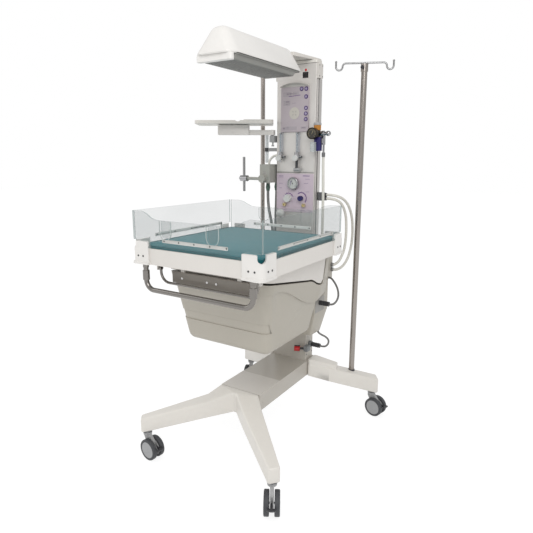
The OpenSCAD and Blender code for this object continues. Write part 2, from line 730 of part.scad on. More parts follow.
module panel_right() color([0.75, 0.82, 0.82, 0.35]) from_datum()
    translate([bed_half_w, 0, 0]) rotate(90) stand() side_panel();

module panel_left() color([0.75, 0.82, 0.82, 0.35]) from_datum() mirror([1, 0, 0])
    translate([bed_half_w, 0, 0]) rotate(90) stand() side_panel();

module panel_rear() color([0.75, 0.82, 0.82, 0.35]) from_datum() translate([0, bed_rear, 0])
    mirror([0, 1, 0]) {
    half = cap_in_x - 0.7;
    stand() {
        translate([0, -40, 0]) linear_extrude(panel_t)
            polygon([[-half, panel_z], [half, panel_z], [half, panel_z + 50], [-half, panel_z + 50]]);
        linear_extrude(panel_t) polygon(concat([[-half, panel_z], [half, panel_z]],
            [for (i = [24:-1:0]) panel_edge(half, panel_dip - 4, 170, 265)[i]]));
        strip(-168, 168);
        for (x = [-105, 138]) translate([0, 0, panel_t]) tab(x, rail_top + 54, panel_top - panel_dip);
    }
}

// Upright, bend, cross bar, bend, upright, in the XZ plane
module u_bar(half, z_top, z_low, bend, r) {
    for (s = [-1, 1]) {
        bar_z([s * half, 0, z_low + bend], r, z_top - z_low - bend);
        translate([s * (half - bend), 0, z_low + bend]) rotate([90, s > 0 ? 0 : 90, 0])
            rotate([0, 0, -90]) rotate_extrude(angle = 90) translate([bend, 0]) circle(r = r);
    }
    bar_x([bend - half, 0, z_low], r, 2 * (half - bend));
}

module front_handle() color([0.55, 0.54, 0.52]) from_datum() translate([0, handle_y, 0]) {
    u_bar(handle_half_w, rail_z - 18, 866, 42, handle_d / 2);
    for (s = [-1, 1]) {
        bar_z([s * handle_half_w, 0, 908], handle_d / 2 + 4, 42);
        bar_z([s * handle_half_w, 0, rail_z - 18], handle_d / 2 + 2, 14);
    }
}

module tilt_release_bar() color([0.50, 0.49, 0.47]) from_datum() translate([0, release_y, 0]) {
    u_bar(release_half_w, release_z, 888, 46, release_d / 2);
    for (s = [-1, 1]) {
        translate([s * release_half_w, 0, release_z]) rotate([0, 90 * s, 0]) cylinder(r = 3, h = 15);
        translate([s * release_half_w, 0, release_z]) rotate([0, 90 * s, 0])
            translate([0, 0, -6]) cylinder(r = 8, h = 14);
    }
}

// Tower

module tower_shell() color([0.80, 0.77, 0.75]) from_datum() difference() {
    union() {
        slab([-tower_half_w, tower_y, tower_foot], [tower_half_w, tower_mid, tower_top], 3);
        slab([-spine_half_w, tower_mid - 6, tower_foot], [spine_half_w, tower_back, tower_top], 10);
    }
    z0 = tower_foot - 1;
    z1 = tower_top + 1;
    slab([4 - tower_half_w, tower_y + 4, z0], [tower_half_w - 4, tower_mid - 4, z1], 2);
    slab([4 - spine_half_w, tower_mid, z0], [spine_half_w - 4, tower_back - 4, z1], 6);
}

module tower_cap() color([0.88, 0.86, 0.83]) from_datum() {
    difference() {
        union() {
            slab([-tower_half_w - 2, tower_y - 3, tower_top],
                [tower_half_w + 2, tower_mid + 2, cap_top], 8);
            slab([-spine_half_w - 2, tower_mid - 8, tower_top],
                [spine_half_w + 2, tower_back + 2, cap_top], 12);
        }
        bar_z([0, swivel_y, tower_top + 1.5], swivel_r + fit, cap_t);
    }
    face([36, tower_y - 2, tower_top - 68], [68, tower_y, tower_top - 40], 2);
    bar_y([54, tower_y - 3, tower_top - 31], 6, 3);
    for (s = [-1, 1]) {
        x0 = s > 0 ? tower_half_w : -tower_half_w - 9;
        brick([x0, tower_y + 4, tower_top - 72], [x0 + 9, tower_mid - 3, tower_top - 2]);
        for (y = [tower_y + 12, tower_mid - 11], z = [tower_top - 62, tower_top - 12])
            bar_x([s > 0 ? x0 + 9 : x0 - 1.5, y, z], 3.5, 1.5);
    }
}

module side_rails() color([0.50, 0.50, 0.50]) from_datum() {
    for (s = [0, 1]) mirror([s, 0, 0]) {
        brick([tower_half_w, tower_y + 6, rim_z + 5], [tower_half_w + 1.5, rail_y1 - 4, tower_top - 74]);
        brick([tower_half_w, rail_y0, rim_z + 5], [rail_face, rail_y1 - 4, tower_top - 74]);
    }
    // Clamp that carries the shelf arm, with its lever
    slab([shelf_pivot.x - 10, 300, shelf_z - 37], [-rail_face, 366, shelf_z - 3], 3);
    bar_z([shelf_pivot.x, shelf_pivot.y, shelf_z - 4], 8, 30);
    bar_z([-130, 310, shelf_z - 58], 4, 22);
    bar_z([-130, 310, shelf_z - 58], 7, 8);
    // Clip that holds the hoses
    slab([rail_face, 352, 1210], [150, 378, 1252], 3);
    for (z = [1221, 1240]) bar_x([149, 365, z], gas_hose_r + 2, 16);
}

// Arched visor over the controller, drawn in by an inset
module visor(rise, inset) {
    low = module_top - 2 - inset;
    mid = (module_x[0] + module_x[1]) / 2;
    half = (module_x[1] - module_x[0]) / 2 - inset;
    linear_extrude(22 - inset) polygon(concat([[mid - half, low], [mid + half, low]],
        [for (i = [6:-1:-6]) [mid + half * i / 6, module_top + rise * (1 - pow(i / 6, 2))]]));
}

module controller_module() color([0.76, 0.71, 0.75]) from_datum() {
    difference() {
        face([module_x[0], module_y, module_z], [module_x[1], tower_y, module_top], 6);
        for (k = KEYS) bar_y([k.x, module_y - 1, k.y], key_r + 0.5, key_travel + 3);
    }
    difference() {
        translate([0, tower_y, 0]) rotate([90, 0, 0]) visor(18, 0);
        translate([0, module_y - 1, 0]) rotate([90, 0, 0]) visor(14, 3);
    }
    bar_y([-3, module_y - 1.5, module_top - 129], 29, 1.5);
}

module control_key(i) color([0.42, 0.30, 0.52]) from_datum() difference() {
    bar_y([KEYS[i].x, module_y - 1.8, KEYS[i].y], key_r, 3);
    bar_y([KEYS[i].x, module_y - 2.8, KEYS[i].y], key_r - 5, 1.4);
}

module flowmeters() color([0.72, 0.74, 0.76]) from_datum() {
    face([3 - tower_half_w, tower_y - 3, flow_bottom], [tower_half_w - 3, tower_y, flow_top], 3);
    for (x = FLOW_X) {
        bar_z([x, flow_y, flow_z + 18], 7, 92);
        bar_z([x, flow_y, flow_z + 109], 9, 5);
        bar_y([x, flow_y - 2, flow_z], 10, 18);
        bar_x([x + 10, flow_y, flow_z - 6], 5.5, 18);
        difference() {
            union() {
                bar_z([x, flow_y, flow_z - 14], 13, 32);
                bar_z([x, flow_y, flow_z - 33], 6, 21);
                bar_y([x + flow_knob_dx, flow_y - 13.5, flow_knob_z], 9, 13);
            }
            bar_y([x + flow_knob_dx, flow_y - 15, flow_knob_z], 4 + fit, 13);
        }
    }
    // Outlet tee below the right-hand one
    bar_z([FLOW_X[1], flow_y, flow_bottom + 16], 7, 45);
    bar_x([FLOW_X[1] - 14, flow_y, flow_bottom + 10], 9, 36);
    // Clear tube on a bar at the left
    bar_z([-188, 345, 1400], 9, 146);
    bar_z([-188, 345, 1545], 7, 7);
    bar_z([-188, 345, 1458], 12, 20);
    slab([-178, 340, 1459], [-rail_face, 350, 1477], 1);
}

module flow_knob(i) color([0.85, 0.85, 0.86]) from_datum() {
    x = FLOW_X[i] + flow_knob_dx;
    bar_y([x, flow_y - 26, flow_knob_z], 15, 12);
    bar_y([x, flow_y - 14.5, flow_knob_z], 4, 11.5);
}

module resus_panel() color([0.75, 0.68, 0.75]) from_datum() {
    difference() {
        face([5 - tower_half_w, panel_face_y, resus_top - 199], [tower_half_w - 3, tower_y, resus_top], 4);
        for (p = [pressure_knob_at, mixing_knob_at]) bar_y([p.x, panel_face_y - 1, p.y], 5 + fit, 6);
    }
    difference() {
        bar_y([mixing_knob_at.x, panel_face_y - 2, mixing_knob_at.y], 25, 2);
        bar_y([mixing_knob_at.x, panel_face_y - 3, mixing_knob_at.y], 5 + fit, 4);
    }
    for (x = [-55, 59]) difference() {
        bar_y([x, panel_face_y - 12, port_z], 10, 12);
        bar_y([x, panel_face_y - 13, port_z], 5, 10);
    }
    // Ball on a stem below the panel
    bar_y([-64, tower_y - 18, port_z - 44], 6, 18);
    translate([-64, tower_y - 37, port_z - 44]) sphere(r = 23);
}

module pressure_gauge() color([0.60, 0.60, 0.62]) from_datum() translate([-1, panel_face_y, resus_top - 50])
    rotate([90, 0, 0]) rotate_extrude($fn = 48) polygon([[0, 0], [gauge_r - 5, 0], [gauge_r - 5, 4],
        [gauge_r, 5], [gauge_r, 20], [gauge_r - 2, 22], [gauge_r - 5, 22], [gauge_r - 6, 19], [0, 19]]);

module pressure_knob() color([0.93, 0.92, 0.90]) from_datum() {
    p = pressure_knob_at;
    difference() {
        bar_y([p.x, panel_face_y - 22, p.y], 20, 21.6);
        brick([p.x - 25, panel_face_y - 24, p.y + 4], [p.x - 12, panel_face_y - 12, p.y + 25]);
        brick([p.x + 12, panel_face_y - 24, p.y + 4], [p.x + 25, panel_face_y - 12, p.y + 25]);
    }
    bar_y([p.x, panel_face_y - 1, p.y], 5, 5.5);
}

module mixing_knob() color([0.16, 0.12, 0.42]) from_datum() {
    p = mixing_knob_at;
    bar_y([p.x, panel_face_y - 20, p.y], 13, 17.6);
    brick([p.x - 2, panel_face_y - 21.5, p.y], [p.x + 2, panel_face_y - 19, p.y + 12]);
    bar_y([p.x, panel_face_y - 3, p.y], 5, 7.5);
}

// Heater

module head_arm() color([0.86, 0.85, 0.82]) from_datum() {
    bar_z([0, swivel_y, tower_top + 2.5], swivel_r, cap_t + 2);
    bar_z([0, swivel_y, cap_top + 0.5], 46, 3);
    hull() {
        slab([-100, 350, arm_z], [100, 404, arm_z + 9], 14);
        slab([-56, hood_rear, arm_z - 1], [56, hood_rear + 20, arm_z + 16], 4);
    }
}

// Outline of the hood's rim, seen from above
module rim_plan(grow) {
    half = hood_half_w + grow;
    l = (hood_rear + hood_front) / 2;
    polygon(concat(arc_pts([half - 12, l - 12], 12, 0, 90, 3), arc_pts([12 - half, l - 12], 12, 90, 180, 3),
        arc_pts([55 - half, 55 - l - grow], 55, 180, 262, 5),
        arc_pts([half - 55, 55 - l - grow], 55, 278, 360, 5)));
}

module hood_form(grow) hull() {
    translate([0, (hood_rear - hood_front) / 2, hood_z]) linear_extrude(5) rim_plan(grow);
    for (x = [-8, 8], y = [71 - hood_front, hood_rear - 20])
        translate([x, y, hood_top - 45]) sphere(r = 45 + grow);
}

module hood_shell() color([0.92, 0.91, 0.89]) from_datum() {
    difference() {
        hood_form(0);
        difference() {
            hood_form(-3.5);
            brick([-150, hood_rear - 4, 1700], [150, hood_rear + 60, 2000]);
        }
        brick([-150, hood_rear, 1700], [150, hood_rear + 60, 2000]);
    }
    // Rounded bezel across the front and the lip that joins it to the rim
    slab([-88, 11 - hood_front, hood_z - grille_drop - 2], [88, grille_y0 - 0.5, hood_z - 2], 13.5);
    intersection() {
        translate([0, (hood_rear - hood_front) / 2, hood_z - 3]) linear_extrude(4) rim_plan(-1);
        brick([-150, -400, hood_z - 5], [150, grille_y0 - 0.5, hood_z + 5]);
    }
}

// Tray with tapered sides, drawn in by an inset
module tray_form(inset) hull() {
    y0 = grille_y0 + inset;
    slab([inset - 84, y0, hood_z - 1], [90 - inset, 160 - inset, hood_z + (inset > 0 ? 1 : 0)], 8);
    slab([inset - 77, y0, hood_z - grille_drop + inset], [83 - inset, 152 - inset, hood_z - 6], 8);
}

module heater_grille() color([0.52, 0.53, 0.54]) from_datum() {
    difference() {
        tray_form(0);
        tray_form(3.5);
        for (i = [0:20]) brick([-70, i * 22 + grille_y0 + 12, 1700],
            [76, i * 22 + grille_y0 + 24, hood_z - grille_drop + 5]);
    }
    difference() {
        intersection() {
            translate([0, (hood_rear - hood_front) / 2, hood_z - 3]) linear_extrude(3) rim_plan(-1);
            brick([-150, grille_y0, hood_z - 5], [150, hood_rear - 4.5, hood_z + 5]);
        }
        tray_form(3);
    }
}

module heater_element() color([0.70, 0.68, 0.64]) from_datum() {
    difference() {
        slab([-60, -290, hood_z + 24], [60, 150, hood_z + 46], 10);
        slab([-53, -283, hood_z + 18], [53, 143, hood_z + 42], 8);
    }
    for (x = [-32, 0, 32]) bar_y([x, -284, hood_z + 32], 6, 428);
    for (y = [-240, 100]) bar_z([0, y, hood_z + 45], 5, hood_h - 48.7);
}

// Accessories

module poles() color([0.50, 0.48, 0.46]) from_datum() {
    difference() {
        bar_z([right_pole_x, pole_y, pole_z], iv_pole_r, pole_top - 36 - pole_z);
        bar_z([right_pole_x, pole_y, pole_z + 6], iv_pole_r - 1.5, 2000);
    }
    difference() {
        bar_z([right_pole_x, pole_y, pole_top - 36], iv_pole_r + 3, 36);
        bar_z([right_pole_x, pole_y, pole_top - 37], hook_rod_r + fit, 38);
    }
    bar_z([-left_pole_x, pole_y, pole_z], spigot_r, spigot_top - pole_z);
    bar_z([-left_pole_x, pole_y, spigot_top], left_pole_r, 1870 - spigot_top);
}

module iv_hook_rod() color([0.62, 0.61, 0.60]) from_datum()
    translate([right_pole_x, pole_y, 0]) rotate([0, 0, crossbar_turn]) {
    z = pole_top + 5;
    wire = 4.5;
    r = 16;
    half = 91;
    bar_z([0, 0, 1240], hook_rod_r, z - 1240);
    bar_x([-half, 0, z], wire, 2 * half);
    for (s = [-1, 1]) {
        translate([s * half, 0, z - r]) rotate([90, 0, 0]) rotate([0, 0, s > 0 ? 0 : 90])
            rotate_extrude(angle = 90) translate([r, 0]) circle(r = wire);
        translate([s * (half + 2 * r), 0, z - r]) rotate([90, 0, 0]) rotate([0, 0, 180])
            rotate_extrude(angle = 180) translate([r, 0]) circle(r = wire);
        bar_z([s * (half + 3 * r), 0, z - r], wire, 22);
        translate([s * (half + 3 * r), 0, z + 7]) sphere(r = 5.5);
    }
}

// Along the shelf arm from its pivot
module on_arm() translate([shelf_pivot.x, shelf_pivot.y, 0]) rotate(shelf_angle) children();

module shelf_arm() color([0.62, 0.61, 0.59]) from_datum() on_arm() difference() {
    union() {
        slab([0, -15, shelf_z], [150, 15, shelf_z + 25], 4);
        bar_z([0, 0, shelf_z], 16, 25);
        slab([120, -32, shelf_z], [283, 32, tray_z - 4], 5);
        bar_z([tray_reach, 0, tray_z - 5], 24, 4.6);
        bar_z([tray_reach, 0, tray_z - 5], 6, 8);
    }
    bar_z([0, 0, shelf_z - 1], 8 + fit, 28);
}

module shelf_tray() color([0.90, 0.89, 0.86]) from_datum() on_arm() translate([tray_reach, 0, tray_z])
    difference() {
    union() {
        slab([-tray_l / 2, -tray_w / 2, 0], [tray_l / 2, tray_w / 2, 16], 26);
        slab([-tray_l / 2, -tray_w / 2, 0], [-tray_l / 2 + 160, tray_w / 2, 20], 26);
    }
    slab([-tray_l / 2 + 7, -tray_w / 2 + 7, 4], [tray_l / 2 - 7, tray_w / 2 - 7, 30], 20);
    bar_z([0, 0, -1], 6 + fit, 8);
    translate([-20, 0, 26]) rotate([90, 0, 0]) translate([0, 0, -150]) cylinder(r = 16, h = 300);
}

module holder_box() color([0.66, 0.64, 0.60]) from_datum() {
    slab([-182, 262, 1297], [-rail_face - 2, 375, 1392], 4);
    brick([-rail_face - 2, rail_y0, 1310], [-rail_face, rail_y1 - 5, 1380]);
    bar_y([-156, 238, holder_z], 20, 24);
    bar_x([-248, 246, holder_z], 8, 84);
    difference() {
        bar_x([-290, 246, holder_z], 16, 42);
        bar_z([-270, 246, holder_z - 20], 7 + fit, 40);
    }
    bar_x([-300, 246, holder_z], 6, 10);
    for (q = [HOSE_D[0], HOSE_E[0]]) bar_z([q.x, q.y, 1290], dark_hose_r + 2.5, 8);
}

module holder_rod() color([0.70, 0.70, 0.70]) from_datum() {
    bar_z([-270, 246, 1249], 7, 181);
}

module gas_regulator() color([0.60, 0.60, 0.62]) from_datum() {
    at = regulator_at;
    difference() {
        union() {
            slab([rail_face, at.y - 8, 1522], [at.x + 4, 366, 1556], 2);
            bar_z([at.x, at.y, 1526], 14, 33);
        }
        bar_z([at.x, at.y, 1550], 5 + fit, 10);
    }
    slab([at.x - 12, 292, 1460], [152, 324, 1526], 6);
    bar_z([122, 282, 1456], 15, 46);
    // Gauge facing the front
    difference() {
        bar_y([122, 262, 1543], 28, 22);
        bar_y([122, 261, 1543], 24, 3);
    }
    bar_y([122, 283, 1543], 8, 20);
    // Outlet with a ball on its right and the hose fitting
    bar_x([at.x + 10, at.y, 1543], 9, 44);
    bar_x([156, at.y, 1543], 14, 12);
    translate([190, at.y, 1543]) sphere(r = 13);
    slab([146, 308, 1496], [164, 326, 1520], 3);
    bar_z([160, 322, 1490], 8, 48);
    bar_z([160, 322, 1452], 5, 40);
}

module regulator_knob() color([0.80, 0.50, 0.10]) from_datum() {
    at = regulator_at;
    difference() {
        bar_z([at.x, at.y, 1560], 18, 34);
        for (a = [0:30:330]) bar_z([at.x + 20 * cos(a), at.y + 20 * sin(a), 1559], 3, 24);
    }
    bar_z([at.x, at.y, 1551], 5, 10);
}

module gas_hoses() color([0.90, 0.89, 0.86]) from_datum() {
    cord(HOSE_A, gas_hose_r);
    cord(HOSE_B, gas_hose_r, [0.2, 0, 1]);
    cord(HOSE_C, gas_hose_r, [0.2, 0, 1]);
    cord(HOSE_F, clear_hose_r, [0, 1, 0]);
}

module leads_and_hoses() color([0.35, 0.34, 0.33]) from_datum() {
    cord(HOSE_D, dark_hose_r);
    cord(HOSE_E, dark_hose_r);
    cord(LEAD_UP, lead_r, [0, 0.6, -0.8]);
    cord(LEAD_LOW, lead_r, [0, 0.6, -0.8]);
}

module fittings() color([0.35, 0.35, 0.36]) from_datum() {
    // Red cap on its stem at the pedestal
    brick([pedestal_half_w, 266, 402], [124, 300, 432]);
    translate([102, 272, 416]) rotate([0, -90, 22]) {
        cylinder(r = 6, h = 26);
        translate([0, 0, 24]) cylinder(r = 16, h = 30);
    }
    // Plugs and their nuts
    bar_x([pedestal_half_w, 334, 425], 17, 14);
    bar_x([114, 334, 425], 12, 51);
    bar_x([housing_half_w + 4.5, 232, 702], 12, 54);
}

base_beam();
front_legs();
rear_legs();
pedestal();
caster_fork(0);  // caster_fork_fl
caster_fork(1);  // caster_fork_fr
caster_fork(2);  // caster_fork_rl
caster_fork(3);  // caster_fork_rr
caster_wheels(0);  // caster_wheels_fl
caster_wheels(1);  // caster_wheels_fr
caster_wheels(2);  // caster_wheels_rl
caster_wheels(3);  // caster_wheels_rr
brake_pedal(0);  // brake_pedal_fl
brake_pedal(1);  // brake_pedal_fr
brake_pedal(2);  // brake_pedal_rl
brake_pedal(3);  // brake_pedal_rr
fittings();
leads_and_hoses();
tub_shell();
rear_housing();
tilt_bracket();
tower_shell();
tower_cap();
side_rails();
controller_module();
control_key(0);  // key_1
control_key(1);  // key_2
control_key(2);  // key_3
control_key(3);  // key_4
control_key(4);  // key_5
control_key(5);  // key_6
flowmeters();
flow_knob(0);  // flow_knob_left
flow_knob(1);  // flow_knob_right
resus_panel();
pressure_gauge();
pressure_knob();
mixing_knob();
head_arm();
hood_shell();
heater_grille();
heater_element();
bed_frame();
corner_caps();
mattress();
panel_front();
panel_left();
panel_right();
panel_rear();
front_handle();
tilt_release_bar();
poles();
iv_hook_rod();
shelf_arm();
shelf_tray();
holder_box();
holder_rod();
gas_regulator();
regulator_knob();
gas_hoses();
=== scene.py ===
"""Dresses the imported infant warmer: finer meshes, procedural finishes, light and camera.

Every length is in metres, in the warmer's own frame: X to the right as seen from the
foot of the bed, Y towards the tower, Z up from the floor.
"""

from __future__ import annotations

import json
import logging
import math
from collections.abc import Iterable, Sequence
from dataclasses import dataclass
from enum import Enum

import bmesh
import bpy
from mathutils import Matrix, Vector

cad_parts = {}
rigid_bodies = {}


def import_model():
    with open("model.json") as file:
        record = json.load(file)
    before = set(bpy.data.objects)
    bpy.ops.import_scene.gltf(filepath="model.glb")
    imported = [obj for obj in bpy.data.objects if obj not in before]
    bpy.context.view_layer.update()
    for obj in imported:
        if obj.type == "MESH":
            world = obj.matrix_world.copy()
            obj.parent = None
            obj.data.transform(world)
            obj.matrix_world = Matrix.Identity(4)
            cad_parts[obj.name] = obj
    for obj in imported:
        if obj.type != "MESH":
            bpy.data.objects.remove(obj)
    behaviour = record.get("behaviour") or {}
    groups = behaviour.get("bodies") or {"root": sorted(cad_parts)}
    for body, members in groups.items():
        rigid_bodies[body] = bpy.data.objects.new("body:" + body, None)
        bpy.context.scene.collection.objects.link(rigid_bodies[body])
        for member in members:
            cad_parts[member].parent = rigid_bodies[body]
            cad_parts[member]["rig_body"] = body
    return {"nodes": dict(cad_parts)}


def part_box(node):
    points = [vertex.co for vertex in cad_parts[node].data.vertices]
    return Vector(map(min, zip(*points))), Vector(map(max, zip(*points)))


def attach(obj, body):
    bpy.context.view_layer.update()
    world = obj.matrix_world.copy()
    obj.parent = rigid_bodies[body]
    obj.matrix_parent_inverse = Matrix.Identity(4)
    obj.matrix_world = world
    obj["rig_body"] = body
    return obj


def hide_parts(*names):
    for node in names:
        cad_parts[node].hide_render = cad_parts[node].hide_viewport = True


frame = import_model()
log = logging.getLogger("warmer")

Point = tuple[float, float, float]
Plane = tuple[float, float]
Colour = tuple[float, float, float]
MM = 0.001
DATUM = 19.0
ALONG_X: Point = (1, 0, 0)
ALONG_Z: Point = (0, 0, 1)
BACKWARD = Vector((0, 1, 0))

# Waves in a metre of the noises that the moulded and painted finishes share
BROAD_WAVES = 3.5
FINE_WAVES = 60.0

# Points closer than this, in metres, are one; faces closer than this angle, in degrees, are flat
SAME_POINT = 2e-6
FLAT = 0.3

# Least angle of an edge that is bevelled, in degrees
SHARP = 38.0

# Sides of the turned pieces: a small round one and a hexagon nut
SMALL_ROUND = 24
HEXAGON = 6

# Routes of the hoses and leads, in millimetres from the datum
HOSE_A: tuple[Point, ...] = (
    (160, 322, 1451.7), (160, 322, 1400), (161, 324, 1330), (162, 327, 1250), (162, 329, 1160),
    (162, 330, 1070), (162, 330, 1000), (162, 330, 955.3),
)
HOSE_B: tuple[Point, ...] = (
    (165.3, 365, 1240), (184, 365, 1240), (204, 370, 1238), (220, 386, 1232), (231, 412, 1221),
    (238, 444, 1203), (242, 474, 1177), (244, 502, 1142), (245, 522, 1100), (245, 532, 1056),
    (245, 534, 1010), (244, 528, 965), (242, 514, 926), (239, 494, 893), (234, 468, 868),
    (227, 440, 852), (216, 418, 844), (202, 406, 842), (186.2, 406, 842),
)
HOSE_C: tuple[Point, ...] = (
    (165.3, 365, 1221), (182, 365, 1221), (200, 370, 1219), (213, 384, 1213), (222, 406, 1201),
    (226, 430, 1183), (228, 452, 1158), (229, 470, 1126), (229, 480, 1090), (229, 484, 1050),
    (229, 483, 1010), (228, 478, 972), (226, 468, 938), (222, 452, 911), (217, 436, 890),
    (210, 420, 877), (201, 408, 870), (193, 404, 868), (186.2, 404, 868),
)
HOSE_D: tuple[Point, ...] = (
    (-152, 300, 1289.7), (-152, 300, 1262), (-151, 298, 1228), (-146, 294, 1188), (-136, 288, 1146),
    (-122, 282, 1104), (-110, 278, 1060), (-103, 277, 1014), (-100, 277, 985), (-100, 277, 955.3),
)
HOSE_E: tuple[Point, ...] = (
    (-130, 352, 1289.7), (-130, 352, 1250), (-131, 351, 1190), (-132, 349, 1120), (-132, 347, 1050),
    (-131, 346, 1000), (-131, 346, 955.3),
)
HOSE_F: tuple[Point, ...] = (
    (-92.5, 303, 1437), (-106, 303, 1437), (-119, 302, 1433.5), (-131, 301, 1425), (-140, 300, 1414),
    (-145, 300, 1404), (-145, 300, 1392.3),
)
LEAD_UP: tuple[Point, ...] = (
    (258.8, 232, 702), (268, 232, 702), (279, 236, 705), (286, 246, 712), (289, 261, 723),
    (286, 280, 738), (277, 298, 753), (264, 315, 768), (247, 331, 782), (229, 345, 794), (212, 356, 803),
    (199, 361, 806), (186.2, 361, 806),
)
LEAD_LOW: tuple[Point, ...] = (
    (165.3, 334, 425), (182, 334, 425), (196, 336, 428), (206, 340, 437), (211, 343, 450),
    (210, 343, 464), (202, 340, 476), (190, 335, 485), (177, 329, 492), (166, 324, 499),
    (159, 320.5, 507), (158, 320, 513), (158, 320, 519.7),
)


class Value:
    """A shader socket whose arithmetic adds Math nodes."""

    def __init__(self, surface: "Surface", socket: bpy.types.NodeSocket) -> None:
        """Wraps one output socket of a surface's node tree."""
        self.surface = surface
        self.socket = socket

    def _math(self, operation: str, *others: "Value | float") -> "Value":
        """Adds a Math node whose first input is this value.

        Args:
            operation: The Math node's operation.
            others: Values or numbers for the further inputs.

        Returns:
            The node's result.
        """
        return self.surface.math(operation, self, *others)

    def __add__(self, other: "Value | float") -> "Value":
        """Sum."""
        return self._math("ADD", other)

    __radd__ = __add__

    def __sub__(self, other: "Value | float") -> "Value":
        """Difference."""
        return self._math("SUBTRACT", other)

    def __rsub__(self, other: float) -> "Value":
        """Difference from a number."""
        return self.surface.math("SUBTRACT", other, self)

    def __mul__(self, other: "Value | float") -> "Value":
        """Product."""
        return self._math("MULTIPLY", other)

    __rmul__ = __mul__

    def __truediv__(self, other: "Value | float") -> "Value":
        """Quotient."""
        return self._math("DIVIDE", other)

    def __rtruediv__(self, other: float) -> "Value":
        """Quotient of a number."""
        return self.surface.math("DIVIDE", other, self)

    def clip(self) -> "Value":
        """The value kept between 0 and 1."""
        return self._math("MINIMUM", 1.0)._math("MAXIMUM", 0.0)

    def sine(self) -> "Value":
        """Sine of the value in radians."""
        return self._math("SINE")

    def root(self) -> "Value":
        """Square root."""
        return self._math("SQRT")


class Surface:
    """One procedural material, written as expressions on its sockets."""

    def __init__(self, name: str) -> None:
        """Starts a material with a Principled shader.

        Args:
            name: The material's name.
        """
        self.material = bpy.data.materials.new(name)
        self.material.use_nodes = True
        self.tree = self.material.node_tree
        self.tree.nodes.clear()
        self.shader = self.node("ShaderNodeBsdfPrincipled")
        self.output = self.node("ShaderNodeOutputMaterial")
        self.tree.links.new(self.shader.outputs[0], self.output.inputs["Surface"])

    def node(
        self,
        kind: str,
        settings: dict[str, object] | None = None,
        values: dict[int | str, object] | None = None,
    ) -> bpy.types.Node:
        """Adds one node.

        Args:
            kind: The node's type.
            settings: Properties that are set before its sockets.
            values: Numbers, colours, Values or sockets for its inputs.

        Returns:
            The new node.
        """
        made = self.tree.nodes.new(kind)
        for key, setting in (settings or {}).items():
            setattr(made, key, setting)
        for key, value in (values or {}).items():
            self.feed(made.inputs[key], value)
        return made

    def feed(self, socket: bpy.types.NodeSocket, value: object) -> None:
        """Links a Value or a socket to an input, or sets the input's own number.

        Args:
            socket: The input.
            value: What it gets.
        """
        if isinstance(value, Value):
            self.tree.links.new(value.socket, socket)
        elif isinstance(value, bpy.types.NodeSocket):
            self.tree.links.new(value, socket)
        elif isinstance(value, tuple) and socket.type == "RGBA" and len(value) == 3:
            socket.default_value = (*value, 1.0)
        else:
            socket.default_value = value

    def math(self, operation: str, *terms: Value | float) -> Value:
        """Adds a Math node on the terms and gives its result."""
        made = self.node("ShaderNodeMath", {"operation": operation}, dict(enumerate(terms)))
        return Value(self, made.outputs[0])

    def place(self) -> bpy.types.NodeSocket:
        """The point on the object, in metres."""
        return self.node("ShaderNodeTexCoord").outputs["Object"]

    def axes(self) -> tuple[Value, Value, Value]:
        """The point's X, Y and Z as three values."""
        split = self.node("ShaderNodeSeparateXYZ", None, {0: self.place()})
        return Value(self, split.outputs[0]), Value(self, split.outputs[1]), Value(self, split.outputs[2])

    def noise(self, scale: float, detail: float = 3.0, stretch: Point = (1.0, 1.0, 1.0)) -> Value:
        """Soft noise over the surface.

        Args:
            scale: Waves in a metre.
            detail: Octaves.
            stretch: Factor on each axis, small for long streaks.

        Returns:
            A value from 0 to 1.
        """
        moved = self.node("ShaderNodeMapping", None, {"Vector": self.place(), "Scale": stretch})
        made = self.node(
            "ShaderNodeTexNoise", None, {"Vector": moved.outputs[0], "Scale": scale, "Detail": detail}
        )
        return Value(self, made.outputs[0])

    def blend(self, mask: Value | float, first: object, second: object) -> bpy.types.NodeSocket:
        """Mixes two colours: the first where the mask is 0, the second where it is 1."""
        made = self.node("ShaderNodeMix", {"data_type": "RGBA"}, {0: mask, 6: first, 7: second})
        return made.outputs[2]

    def relief(self, height: Value, depth: float, strength: float = 1.0) -> None:
        """Feeds a height to the shader's normal through a Bump node."""
        bump = self.node(
            "ShaderNodeBump", None, {"Height": height, "Distance": depth, "Strength": strength}
        )
        self.tree.links.new(bump.outputs[0], self.shader.inputs["Normal"])

    def set(self, **inputs: object) -> None:
        """Feeds the shader's inputs, named with _ for each space."""
        for key, value in inputs.items():
            self.feed(self.shader.inputs[key.replace("_", " ")], value)


def tinted(colour: Colour, factor: float) -> Colour:
    """The colour made lighter or darker by a factor."""
    return (min(1.0, colour[0] * factor), min(1.0, colour[1] * factor), min(1.0, colour[2] * factor))


@dataclass(frozen=True)
class Finish:
    """A moulded or painted finish: slight tone change, varied sheen and a fine grain."""

    slot: str
    colour: Colour
    roughness: float = 0.42
    metallic: float = 0.0
    coat: float = 0.0
    mottle: float = 0.035
    grain: float = 900.0
    depth: float = 0.00006
    sheen_change: float = 0.06

    def build(self, surface: Surface) -> None:
        """Lays the finish on a surface.

        Args:
            surface: The material that gets it.
        """
        broad = surface.noise(BROAD_WAVES, 3.0)
        fine = surface.noise(FINE_WAVES, 4.0)
        tone = (broad * 0.7 + fine * 0.3 - 0.5) * 2.2 + 0.5
        surface.set(
            Base_Color=surface.blend(
                tone.clip(), tinted(self.colour, 1 - self.mottle), tinted(self.colour, 1 + self.mottle)
            ),
            Roughness=fine * self.sheen_change + (self.roughness - self.sheen_change / 2),
            Metallic=self.metallic,
            Coat_Weight=self.coat,
            Coat_Roughness=0.12,
        )
        surface.relief(surface.noise(self.grain, 2.0), self.depth)


